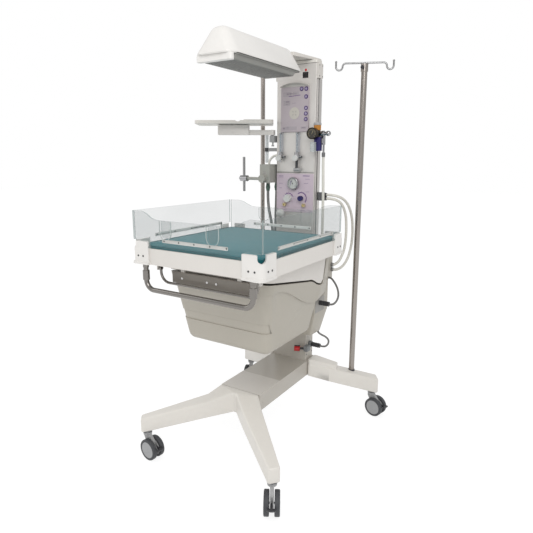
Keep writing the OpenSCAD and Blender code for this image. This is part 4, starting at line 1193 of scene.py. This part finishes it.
@dataclass(frozen=True)
class Caster:
    """One twin-wheel swivel caster with its brake pedal."""

    corner: str
    x: float
    y: float
    heading: float
    trail: float = 30.0
    axle: float = 51.0 + 19.0
    disc: float = 39.6
    hub_out: float = 0.0326

    def build(self) -> None:
        """Dresses the fork, the wheels and the pedal, and adds stem rings and hub caps."""
        turn = math.radians(self.heading)
        ahead = Vector((math.cos(turn), math.sin(turn), 0))
        across = Vector((-math.sin(turn), math.cos(turn), 0))
        hub = spot(self.x + self.trail * ahead.x, self.y + self.trail * ahead.y, self.axle)
        Refined(f"caster_fork_{self.corner}", Coat.FORK_GREY).build()
        discs = Turned(Coat.DISC_GREY, hub, across, self.disc)
        Refined(f"caster_wheels_{self.corner}", Coat.TYRE_GREY, (discs,), bevel=0.6).build()
        Refined(f"brake_pedal_{self.corner}", Coat.DARK_PLASTIC).build()
        stem = Bench(f"caster_{self.corner}")
        for name, low, radius, coat in (
            ("dark_ring", 151.8, 20.6, Coat.DARK_PLASTIC), ("light_ring", 145.0, 20.8, Coat.DISC_GREY),
        ):
            stem.turned(
                f"{name}_{self.corner}",
                [(16, 0), (radius, 0.4), (radius + 0.6, 1.6), (radius, 3.0), (16, 3.2)],
                (self.x, self.y, low - 6), ALONG_Z, coat,
            )
        wheels = Bench(f"wheels_{self.corner}")
        for side in (-1, 1):
            face = hub + across * side * self.hub_out
            at = (face.x / MM, face.y / MM, face.z / MM + DATUM)
            wheels.turned(
                f"hub_cap_{self.corner}_{'a' if side < 0 else 'b'}",
                [(0, 1.2), (7, 1.0), (9.5, 0.4), (10, -0.6), (20, -0.2), (22, -1.4)],
                at, tuple(across * side), Coat.DISC_GREY,
            )


@dataclass(frozen=True)
class LowerBody:
    """Tub, rear housing and the tilt hinge bracket."""

    screw_radius: float = 3.5

    def build(self) -> None:
        """Dresses the mouldings and adds screws."""
        # Painted shade: the recessed band round the tub is coloured darker for the shade in the recess
        band_shade = Box(Coat.TUB_BAND_SHADE, (-300, -300, 699), (300, 300, 745))
        Refined("tub_shell", Coat.BEIGE_PLASTIC, (band_shade,), bevel=1.6, angle=30).build()
        plate = Box(Coat.SIDE_PLATE, (199.9, 190, 651), (206, 298, 730))
        Refined("rear_housing", Coat.BEIGE_PLASTIC, (plate,), bevel=1.6, angle=30).build()
        Refined("tilt_bracket", Coat.DARK_STEEL).build()
        bench = Bench("base")
        for name, x, ys, zs, coat in (
            ("side_plate_screw", 201.5, (200, 288), (660, 720), Coat.POLISHED_STEEL),
            ("pedestal_screw", 100, (300, 362), (372, 488), Coat.DARK_STEEL),
        ):
            bench.screws(name, [(x, y, z) for y in ys for z in zs], ALONG_X, self.screw_radius, coat)


@dataclass(frozen=True)
class Mattress:
    """The foam mattress in coated cloth, puffed up by a short cloth simulation."""

    shrink: float = 5.0
    voxel: float = 7.0
    frames: int = 20
    pressure: float = 4.0
    reach: float = 5.0
    seam_radius: float = 1.7
    held_height: float = 0.006
    corner: float = 20.0
    fill: float = 0.9

    def build(self) -> None:
        """Makes the pad, its seams, and lets them stand for the CAD block."""
        source = frame["nodes"]["mattress"]
        low, high = (Vector(c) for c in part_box("mattress"))
        mesh = source.data.copy()
        mesh.materials.clear()
        middle = (low + high) / 2
        middle.z = low.z
        size = high - low
        for vertex in mesh.vertices:
            away = vertex.co - middle
            for i in range(3):
                away[i] *= 1 - (2 if i < 2 else 1) * self.shrink * MM / size[i]
            vertex.co = middle + away
        piece = Bench("bed").hang("mattress_pad", mesh, Coat.TEAL_COVER)
        remesh = piece.modifiers.new("even", "REMESH")
        remesh.mode = "VOXEL"
        remesh.voxel_size = self.voxel * MM
        self.apply(piece)
        self.puff(piece, low.z)
        smooth = piece.modifiers.new("round", "SUBSURF")
        smooth.levels = smooth.render_levels = 1
        piece.data.shade_smooth()
        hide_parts("mattress")
        self.seams(low, high)

    def puff(self, piece: bpy.types.Object, floor: float) -> None:
        """Swells the pad under pressure, each point held within reach.

        Args:
            piece: The pad.
            floor: Height of the deck that it lies on, in metres.
        """
        rest = [v.co.copy() for v in piece.data.vertices]
        held = piece.vertex_groups.new(name="held")
        held.add([i for i, p in enumerate(rest) if p.z < floor + self.held_height], 1.0, "REPLACE")
        cloth = piece.modifiers.new("puff", "CLOTH")
        cloth.settings.use_pressure = True
        cloth.settings.uniform_pressure_force = self.pressure
        cloth.settings.vertex_group_mass = "held"
        cloth.settings.effector_weights.gravity = 0.0
        cloth.settings.quality = 5
        for step in range(1, self.frames + 1):
            bpy.context.scene.frame_set(step)
        self.apply(piece)
        limit = self.reach * MM
        for vertex, start in zip(piece.data.vertices, rest):
            step = vertex.co - start
            if step.length > limit:
                step *= limit / step.length
            vertex.co = start + step
            vertex.co.z = max(vertex.co.z, floor)
        bpy.context.scene.frame_set(1)
        log.info("mattress puffed, %d points", len(rest))

    def apply(self, piece: bpy.types.Object) -> None:
        """Bakes the piece's modifiers into a mesh of its own."""
        evaluated = piece.evaluated_get(bpy.context.evaluated_depsgraph_get())
        fresh = bpy.data.meshes.new_from_object(evaluated)
        piece.modifiers.clear()
        piece.data = fresh

    def seams(self, low: Vector, high: Vector) -> None:
        """Adds the piping round the upper and lower edges.

        Args:
            low: The block's lowest corner.
            high: The block's highest corner.
        """
        centre, size = (low + high) / 2, (high - low) / MM
        for name, height, inset in (("upper", high.z - 0.0155, 2.2), ("lower", low.z + 0.007, 3.6)):
            outline = rounded(size.x - 2 * inset, size.y - 2 * inset, self.corner, 8)
            points = [Vector((centre.x + a * MM, centre.y + b * MM, height)) for a, b in outline]
            Bench("bed").wire(f"mattress_seam_{name}", points, self.seam_radius, Coat.TEAL_SEAM, True)


@dataclass(frozen=True)
class Bed:
    """The tilting frame, its caps, the handle, the release bar and the mattress."""

    cap_out: float = 334.0
    front: float = 508.0
    cap_screw_z: float = 1016.0
    cap_screw_radius: float = 4.2

    def build(self) -> None:
        """Dresses the bed's nodes, its screws and its mattress."""
        plate = Box(Coat.BRACKET_STEEL, (-230, -410, 880), (230, -380, 942))
        heads = Box(Coat.POLISHED_STEEL, (-230, -410, 900), (230, -402.05, 925))
        Refined("bed_frame", Coat.RAIL_PAINT, (plate, heads), bevel=0.8).build()
        Refined("corner_caps", Coat.WHITE_PLASTIC, bevel=2.2, angle=30).build()
        ends = Box(Coat.DARK_PLASTIC, (-300, -500, 920), (300, -470, 958))
        Refined("front_handle", Coat.TUBE_STEEL, (ends,), bevel=0.8).build()
        Refined("tilt_release_bar", Coat.TUBE_STEEL, bevel=0.4).build()
        bench = Bench("bed")
        z, radius = self.cap_screw_z, self.cap_screw_radius
        places = [(s * x, -self.front, z) for s in (-1, 1) for x in (270, 298)]
        bench.screws("cap_front_screw", places, (0, -1, 0), radius, Coat.SCREW_DARK)
        for side, name in ((1, "cap_right_screw"), (-1, "cap_left_screw")):
            places = [(side * self.cap_out, y, z) for y in (-472, -444, 144, 172)]
            bench.screws(name, places, (side, 0, 0), radius, Coat.SCREW_DARK)
        Mattress().build()


@dataclass(frozen=True)
class Panels:
    """The four clear panels with their screwed strips and clip tabs."""

    strip_low: float = 1079.0
    strip_high: float = 1096.0
    tab_low: float = 1092.5
    tab_high: float = 1172.5
    tab_half: float = 31.0
    wide: float = 400.0
    screw_trim: float = 4.0

    def build(self) -> None:
        """Dresses each panel: clear sheet, bright edges, white strip and dark screws."""
        wide, trim = self.wide, self.screw_trim
        edge_y = Edges(Coat.PANEL_EDGE, Vector((0, 1, 0)))
        edge_x = Edges(Coat.PANEL_EDGE, Vector((1, 0, 0)))
        z0, z1 = self.strip_low, self.strip_high
        front = (
            edge_y,
            Box(Coat.STRIP_WHITE, (-wide, -496.02, z0), (wide, -480, z1)),
            Box(Coat.SCREW_DARK, (-wide, -493.05, z0 + trim), (wide, -480, z1 - trim)),
        )
        rear = (
            edge_y,
            Box(Coat.STRIP_WHITE, (-wide, 180, z0), (wide, 188.02, z1)),
            Box(Coat.SCREW_DARK, (-wide, 180, z0 + trim), (wide, 185.05, z1 - trim)),
        )
        Refined("panel_front", Coat.CLEAR_PLASTIC, front, bevel=0.5).build()
        Refined("panel_rear", Coat.CLEAR_PLASTIC, rear, bevel=0.5).build()
        self.tab_rims()
        for side, name in ((1, "panel_right"), (-1, "panel_left")):
            spans = []
            for inner, coat, cut in ((322.02, Coat.STRIP_WHITE, 0), (319.05, Coat.SCREW_DARK, trim)):
                xs = sorted((side * 300.0, side * inner))
                spans.append(Box(coat, (xs[0], -500, z0 + cut), (xs[1], 200, z1 - cut)))
            Refined(name, Coat.CLEAR_PLASTIC, (edge_x, *spans), bevel=0.5).build()

    def tab_rims(self) -> None:
        """Adds the bright outer rims of the clip tabs on the front panel."""
        middle, reach = self.tab_low + self.tab_half, self.tab_half - 0.8
        for name, x in (("left", -140), ("right", 104)):
            sides = [(x - reach, self.tab_high), (x - reach, middle)]
            turn = [math.radians(180 + 15 * i) for i in range(1, 12)]
            sides += [(x + reach * math.cos(a), middle + reach * math.sin(a)) for a in turn]
            sides += [(x + reach, middle), (x + reach, self.tab_high)]
            points = [spot(a, -506.6, b) for a, b in sides]
            Bench("front_panel").wire(f"tab_rim_{name}", points, 1.1, Coat.TAB_RIM)


@dataclass(frozen=True)
class Tower:
    """The aluminium tower, its cap with the window and lamp, and the side rails."""

    half: float = 112.0
    face: float = 321.0
    top: float = 1880.0
    joint: float = 1351.0

    def build(self) -> None:
        """Dresses the tower's nodes and adds the dark joints on its front."""
        Refined("tower_shell", Coat.ALUMINIUM, bevel=1.5).build()
        window = Box(Coat.BLACK_GLASS, (35, 318, self.top - 69), (69, 320.9, self.top - 39))
        lamp = Box(Coat.RED_CAP, (46, 317, self.top - 38), (62, 320.9, self.top - 24))
        bracket = Box(Coat.PALE_PAINT, (111, 324, 1807), (124, 375, 1879))
        screws = Box(Coat.SCREW_DARK, (121.2, 324, 1807), (124, 375, 1879))
        Refined("tower_cap", Coat.CREAM_PLASTIC, (window, lamp, bracket, screws), bevel=1.5).build()
        strip = Box(Coat.RAIL_STEEL, (111.9, 344.9, 950), (118.1, 374, 1810))
        strip_left = Box(Coat.RAIL_STEEL, (-118.1, 344.9, 950), (-111.9, 374, 1810))
        clamp = Box(Coat.FORK_GREY, (-150, 296, 1480), (-118, 370, 1545))
        Refined("side_rails", Coat.DARK_STEEL, (strip, strip_left, clamp), bevel=0.5).build()
        bench = Bench("base")
        places = [(x, 425, z) for x in (-72, 72) for z in (1010, 1420, 1830)]
        bench.screws("rear_screw", places, (0, 1, 0), 4, Coat.SCREW_DARK)
        bench.plates(
            "front_joint", [rounded(2 * self.half - 4, 3.2, 0.4, 2)],
            (0, self.face - 0.4, self.joint), 1.0, Coat.SEAM,
        )
        bench.plates(
            "rail_facing", [bar(-7, 0, 12.5, 846)], (114.2, 340, 1383), 0.6, Coat.ALUMINIUM, Facing.RIGHT
        )
        bench.plates(
            "cap_joint", [rounded(2 * self.half - 1, 1.6, 0.3, 2)], (0, self.face - 0.3, self.top - 1), 1.0,
            Coat.SEAM,
        )


@dataclass(frozen=True)
class Controller:
    """The control module: keys, pad, display windows and printed marks."""

    top: float = 1775.0
    face: float = 311.0
    pad: Plane = (-3.0, -129.0)
    pad_radius: float = 29.5
    keys: tuple[Plane, ...] = ((36, 14), (62, 15), (62, 52), (62, 106), (62, 133), (62, 160))

    def build(self) -> None:
        """Dresses the module and its keys and prints its plain marks."""
        x, z = self.pad
        pad = Turned(Coat.CREAM_PAD, spot(x, 300, self.top + z), BACKWARD, self.pad_radius)
        visor = Box(Coat.VISOR_GREY, (-90, 295, self.top - 6), (90, 322, self.top + 30))
        Refined("controller_module", Coat.LILAC_PLASTIC, (visor, pad), bevel=0.8).build()
        for i, (x, drop) in enumerate(self.keys):
            Refined(f"key_{i + 1}", Coat.PURPLE_PLASTIC, bevel=0.5).build()
            bench = Bench(f"control_key_{i + 1}")
            bench.turned(
                f"key_ring_{i + 1}",
                [(2.4, 0.6), (2.6, -0.2), (4.6, -0.2), (4.8, 0.6)],
                (x, self.face - 1.8, self.top - drop), (0, 1, 0), Coat.KEY_MARK, 28,
            )
            bench.plates(
                f"key_mark_{i + 1}", [bar(0, 0, 1.3, 5.5) if i % 2 else bar(0, 0, 5.5, 1.3)],
                (x, self.face - 1.0, self.top - drop), 0.5, Coat.KEY_MARK,
            )
        bench = Bench("base")
        windows = [
            moved(rounded(w, h, 2), x, z)
            for x, z, w, h in (
                (-46, -36, 48, 21), (3, -33, 34, 15), (-48, -78, 40, 24),
                (-30, -202, 84, 17), (50, -201, 32, 12),
            )
        ]
        bench.plates("module_windows", windows, (0, self.face - 0.05, self.top), 0.4, Coat.DISPLAY)
        marks = [bar(-47 + 6.2 * i, -34 - (i % 2) * 0.8, 4.6, 7.5 - 2 * (i % 3)) for i in range(6)]
        bench.plates(
            "module_title", [bar(-35 + 5.6 * i, -47 + 0.35 * i, 4.9, 3.4) for i in range(12)],
            (0, self.face - 0.2, self.top), 0.4, Coat.ARC_PURPLE,
        )
        marks += print_rows((
            (4, -10, 5.4, -34, 3.4, 2.2), (4, -52, 5.0, -72, 3.8, 5.6), (3, -52, 5.0, -84, 3.8, 2.2),
            (5, -16, 4.4, -80, 3.2, 1.8), (2, -66, 6.0, -202, 4.4, 6.6), (3, -46, 5.0, -198, 3.6, 2.0),
            (3, -46, 5.0, -204, 3.6, 2.0), (4, 42, 5.4, -200, 4.0, 4.6),
        ))
        bench.plates("module_marks", marks, (0, self.face - 0.25, self.top), 0.4, Coat.PRINT_GREY)
        petals = [ray(*self.pad, a, 7, 15, 6) for a in (45, 135, 225, 315)]
        bench.plates("pad_marks", petals, (0, self.face - 1.62, self.top), 0.4, Coat.PAD_MARK)


@dataclass(frozen=True)
class GasPanel:
    """The two flowmeters and the breathing panel with its gauge, knobs and ports."""

    face: float = 316.0
    resus_top: float = 1346.0
    flow_z: float = 1437.0
    tubes: tuple[float, float] = (-79.0, 19.0)
    gauge: Plane = (-1.0, 1296.0)
    pressure: Plane = (-34.0, 1218.0)
    mixing: Plane = (42.0, 1220.0)
    needle: float = 118.0
    port_radius: float = 10.2
    dial_radius: float = 26.4

    def build(self) -> None:
        """Dresses the flowmeters, the panel, the gauge and the knobs."""
        self.flow()
        self.breathing()

    def flow(self) -> None:
        """Dresses the flowmeters and adds their scales."""
        z = self.flow_z
        regions: list[Region] = [Box(Coat.ALUMINIUM, (-112, 317.5, 1350), (112, 322, 1560))]
        for x in self.tubes:
            regions.append(Box(Coat.TUBE_GLASS, (x - 7.3, 295, z + 17), (x + 7.3, 311, z + 111)))
            regions.append(Box(Coat.DARK_PLASTIC, (x + 14, 296, z - 13), (x + 29, 309, z + 1)))
        regions.append(Box(Coat.DARK_PLASTIC, (10, 293, 1370), (28, 313, 1424)))
        regions.append(Box(Coat.FORK_GREY, (0, 290, 1355), (46, 316, 1377)))
        regions.append(Box(Coat.CLEAR_TUBE, (-198, 335, 1399), (-178, 355, 1553)))
        regions.append(Box(Coat.DARK_PLASTIC, (-201, 332, 1457), (-175, 358, 1479)))
        regions.append(Box(Coat.FORK_GREY, (-179, 339, 1458), (-117, 351, 1478)))
        Refined("flowmeters", Coat.CHROME, tuple(regions), bevel=0.5).build()
        Refined("flow_knob_left", Coat.KNOB_WHITE, bevel=1.4).build()
        Refined("flow_knob_right", Coat.KNOB_WHITE, bevel=1.4).build()
        bench = Bench("base")
        ticks = [
            bar(x + (0 if i % 5 == 0 else 0.8), z + 26 + 5.2 * i, 6.4 if i % 5 == 0 else 3.6, 0.9)
            for x in self.tubes for i in range(16)
        ]
        bench.plates("flow_scale_marks", ticks, (0, 295.7, 0), 0.4, Coat.PRINT_GREY)
        for side, x in zip(("left", "right"), self.tubes):
            bench.turned(
                f"flow_bore_{side}", [(0, 0), (4.4, 0.4), (4.4, 92), (0, 92.4)], (x, 303, z + 18), (0, 0, 1),
                Coat.SCALE_GLASS, SMALL_ROUND,
            )
        channels = [moved(rounded(19, 118, 3, 3), x, z + 62) for x in self.tubes]
        bench.plates("flow_channels", channels, (0, 317.8, 0), 0.6, Coat.CHANNEL_GREY, bevel=0.2)

    def breathing(self) -> None:
        """Dresses the lower panel and draws its plain scales."""
        ports = [
            Turned(Coat.GOLD, spot(x, 300, self.resus_top - 162), BACKWARD, self.port_radius)
            for x in (-55, 59)
        ]
        ball = Box(Coat.KNOB_WHITE, (-88, 260, 1116), (-40, 311, 1164))
        Refined("resus_panel", Coat.PANEL_LAVENDER, (*ports, ball), bevel=0.6).build()
        gx, gz = self.gauge
        dial = Turned(Coat.DIAL, spot(gx, 300, gz), BACKWARD, self.dial_radius)
        Refined("pressure_gauge", Coat.CHROME, (dial,), bevel=0.5).build()
        Refined("pressure_knob", Coat.KNOB_WHITE, bevel=1.2).build()
        Refined("mixing_knob", Coat.NAVY_PLASTIC, bevel=1.0).build()
        bench = Bench("base")
        ticks = [ray(gx, gz, 225 - 270 * i / 20, 19.0 if i % 5 else 17.0, 24.0, 0.9) for i in range(21)]
        ticks.append(band(gx, gz, 23.6, 24.4, -45, 225))
        bench.plates("gauge_scale", ticks, (0, 296.75, 0), 0.3, Coat.PRINT_DARK)
        needle = [ray(gx, gz, self.needle, -5, 18, 1.5), ray(gx, gz, self.needle, -3, 3, 5)]
        bench.plates("gauge_needle", needle, (0, 295.9, 0), 0.5, Coat.PRINT_DARK)
        bench.plates("gauge_arc", [band(gx, gz, 12.0, 15.0, 100, 210)], (0, 296.7, 0), 0.3, Coat.ARC_PURPLE)
        px, pz = self.pressure
        mx, mz = self.mixing
        scale = [band(px, pz, 24, 28, 20, 160), band(mx, mz, 27, 32, -40, 130)]
        scale += [ray(px, pz, a, 30, 34, 1.2) for a in range(-30, 211, 24)]
        scale += [ray(mx, mz, a, 33, 36.5, 1.2) for a in range(-40, 221, 26)]
        bench.plates("knob_scales", scale, (0, self.face - 0.2, 0), 0.5, Coat.ARC_PURPLE)
        top = self.resus_top
        marks = [bar(-92 + 5.6 * i, top - 12 - 7 * j, 4.4, 2.2) for i in range(5) for j in range(2)]
        marks += print_rows((
            (7, 52, 5.6, top - 11, 4.6, 4.4), (5, 66, 5.2, top - 27, 4.0, 2.0),
            (4, -90, 5.2, top - 52, 4.0, 2.0), (5, 58, 5.2, top - 49, 4.0, 2.0),
            (3, -88, 5.2, top - 76, 4.0, 2.0), (4, 70, 5.2, top - 92, 4.0, 2.0),
            (5, -70, 5.2, top - 190, 4.0, 2.0), (5, 44, 5.2, top - 190, 4.0, 2.0),
        ))
        bench.plates("panel_marks", marks, (0, self.face - 0.15, 0), 0.4, Coat.ARC_PURPLE)


@dataclass(frozen=True)
class Heater:
    """The arm, the hood and the perforated grille with the element inside."""

    rim: float = 1820.0
    tray_low: float = 1795.0
    tray_left: float = -84.0
    tray_right: float = 90.0
    tray_front: float = -322.0
    tray_rear: float = 160.0

    def build(self) -> None:
        """Dresses the heater and builds the grille's tray."""
        Refined("head_arm", Coat.PALE_PAINT, bevel=2.0).build()
        Refined("hood_shell", Coat.HOOD_WHITE, bevel=1.6, angle=30).build()
        Refined("heater_element", Coat.POLISHED_STEEL).build()
        self.tray()

    def tray(self) -> None:
        """Builds the tray as a smooth dish with holes in its floor."""

        def ring(inset: float, z: float, draw: float) -> list[Vector]:
            """One outline of the tray at a height.

            Args:
                inset: How far it lies inside the tray's side, in millimetres.
                z: Its height.
                draw: 0 at the mouth and 1 where the sides have drawn in.

            Returns:
                The outline's points in metres.
            """
            x0, x1 = self.tray_left + 7 * draw + inset, self.tray_right - 7 * draw - inset
            y0, y1 = self.tray_front + inset, self.tray_rear - 8 * draw - inset
            plan = moved(rounded(x1 - x0, y1 - y0, 8, 5), (x0 + x1) / 2, (y0 + y1) / 2)
            return [spot(a, b, z) for a, b in plan]

        low = self.tray_low
        rings = [
            ring(0, 1819.6, 0), ring(0, low + 6, 1), ring(0.8, low + 2.6, 1),
            ring(2.6, low + 0.8, 1), ring(5.0, low, 1),
        ]
        bench = Bench("heater")
        tray = bench.lofted("grille_tray", rings, Coat.TRAY_GREY)
        tray.data.materials.append(material_of(Coat.GRILLE_STEEL))
        for face in tray.data.polygons:
            if face.normal.z < -0.9 and len(face.vertices) > 4:
                face.material_index = 1
        rim = bench.plates(
            "grille_rim", [moved(rounded(190, 507, 9, 4), 0, -68)], (0, 0, self.rim - 3), 2.6,
            Coat.TRAY_GREY, Facing.UP,
        )
        for piece in (tray, rim):
            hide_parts("heater_grille")


@dataclass(frozen=True)
class Poles:
    """The two poles and the drip hooks."""

    def build(self) -> None:
        """Dresses the poles and adds the collar's screw and the foot rings."""
        Refined("poles", Coat.POLE_STEEL, bevel=0.5).build()
        Refined("iv_hook_rod", Coat.HOOK_STEEL, bevel=0.4).build()
        bench = Bench("base")
        for name, x, radius in (("right", 300, 15), ("left", -292, 11)):
            bench.turned(
                f"pole_foot_ring_{name}",
                [(radius, 6), (radius + 2.4, 5.4), (radius + 3.4, 0), (radius + 3.2, -8)],
                (x, 466, 268), ALONG_Z, Coat.DARK_PLASTIC,
            )
        bench.turned(
            "collar_screw", [(3, 0), (3, 6), (8, 6.4), (9, 8), (9, 13), (8, 14.5), (0, 15)],
            (300, 448.5, 1858), (0, -1, 0), Coat.DARK_PLASTIC, SMALL_ROUND,
        )


@dataclass(frozen=True)
class Shelf:
    """The swinging arm, the tray and the holder at the left of the tower."""

    def build(self) -> None:
        """Dresses the shelf and the holder."""
        Refined("shelf_arm", Coat.ALUMINIUM, bevel=1.2).build()
        Refined("shelf_tray", Coat.CREAM_PLASTIC, bevel=3.2, angle=30).build()
        rod = Box(Coat.CHROME, (-305, 225, 1298), (-176, 270, 1340))
        Refined("holder_box", Coat.BOX_CREAM, (rod,), bevel=1.4).build()
        Refined("holder_rod", Coat.HOOK_STEEL, bevel=1.6).build()
        bench = Bench("base")
        for name, x, y in (("front", -152, 300), ("rear", -130, 352)):
            bench.turned(
                f"hose_nut_{name}",
                [(7.6, 0), (10, 1), (10, 10), (12.2, 12), (12.2, 26), (10.4, 28), (10.4, 36), (7.6, 37)],
                (x, y, 1253), ALONG_Z, Coat.NUT_GREEN, HEXAGON,
            )
        bench.plates(
            "box_marks", [bar(-5 + 5.4 * i, 8 - 9 * j, 4, 2) for i in range(3) for j in range(2)],
            (-152, 261.85, 1345), 0.4, Coat.PRINT_GREY,
        )


@dataclass(frozen=True)
class Regulator:
    """The gas regulator with its gauge and knob."""

    at: Plane = (130.0, 308.0)
    dial: Plane = (122.0, 1543.0)

    def build(self) -> None:
        """Dresses the regulator and adds its dial."""
        x, z = self.dial
        middle = spot(x, 250, z)
        regions = (
            Box(Coat.NAVY_PLASTIC, (117, 291, 1459), (153, 325, 1527)),
            Box(Coat.CLEAR_TUBE, (106, 266, 1455), (138, 298, 1503)),
            Turned(Coat.BRASS, middle, BACKWARD, 28.5),
            Turned(Coat.DARK_DIAL, middle, BACKWARD, 24.3),
        )
        Refined("gas_regulator", Coat.CHROME, regions, bevel=0.6).build()
        Refined("regulator_knob", Coat.ORANGE_PLASTIC, bevel=0.8).build()
        Bench("regulator_control").turned(
            "regulator_knob_top", [(17.5, -11), (19.6, -9), (19.8, -2), (18.5, 1.6), (0, 2.4)],
            (*self.at, 1594), ALONG_Z, Coat.FORK_GREY,
        )
        bench = Bench("base")
        ticks = [ray(x, z, 225 - 270 * i / 12, 16 if i % 3 else 13.5, 21, 1.1) for i in range(13)]
        ticks += [ray(x, z, 60, -4, 15, 1.4)]
        bench.plates("regulator_dial_marks", ticks, (0, 263.7, 0), 0.3, Coat.GOLD)
        bench.turned(
            "hose_ferrule", [(7.0, 0), (8.4, 0.6), (8.8, 2), (8.8, 20), (8.2, 22), (5.2, 23)],
            (160, 322, 1430), ALONG_Z, Coat.DARK_STEEL, SMALL_ROUND,
        )
        for i, z in enumerate((1221, 1240)):
            bench.turned(
                f"clip_ferrule_{i + 1}", [(9.1, 0), (10.2, 0.6), (10.2, 9), (9.1, 9.6)],
                (153, 365, z), ALONG_X, Coat.DARK_PLASTIC, SMALL_ROUND,
            )
        for i, (y, z) in enumerate(((406, 842), (404, 868))):
            bench.turned(
                f"gas_nut_{i + 1}", [(7.4, 0), (12.0, 0.4), (12.4, 3), (12.4, 9), (11.4, 11), (7.4, 11.6)],
                (185.2, y, z), ALONG_X, Coat.CHROME, HEXAGON,
            )


CASTERS = (
    Caster("fl", -350, -460, -6),
    Caster("fr", 350, -460, -60),
    Caster("rl", -407, 513, -70),
    Caster("rr", 407, 513, -12),
)


def main() -> None:
    """Builds the studio, the hoses and every sub-assembly."""
    logging.basicConfig(level=logging.INFO, format="%(name)s: %(message)s")
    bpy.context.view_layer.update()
    studio = Studio()
    studio.camera()
    Hoses().build()
    studio.build()
    for assembly in (
        Base(), *CASTERS, LowerBody(), Bed(), Panels(), Tower(), Controller(), GasPanel(), Heater(),
        Poles(), Shelf(), Regulator(),
    ):
        assembly.build()
        log.info("%s done", type(assembly).__name__)


if __name__ == "__main__":
    main()
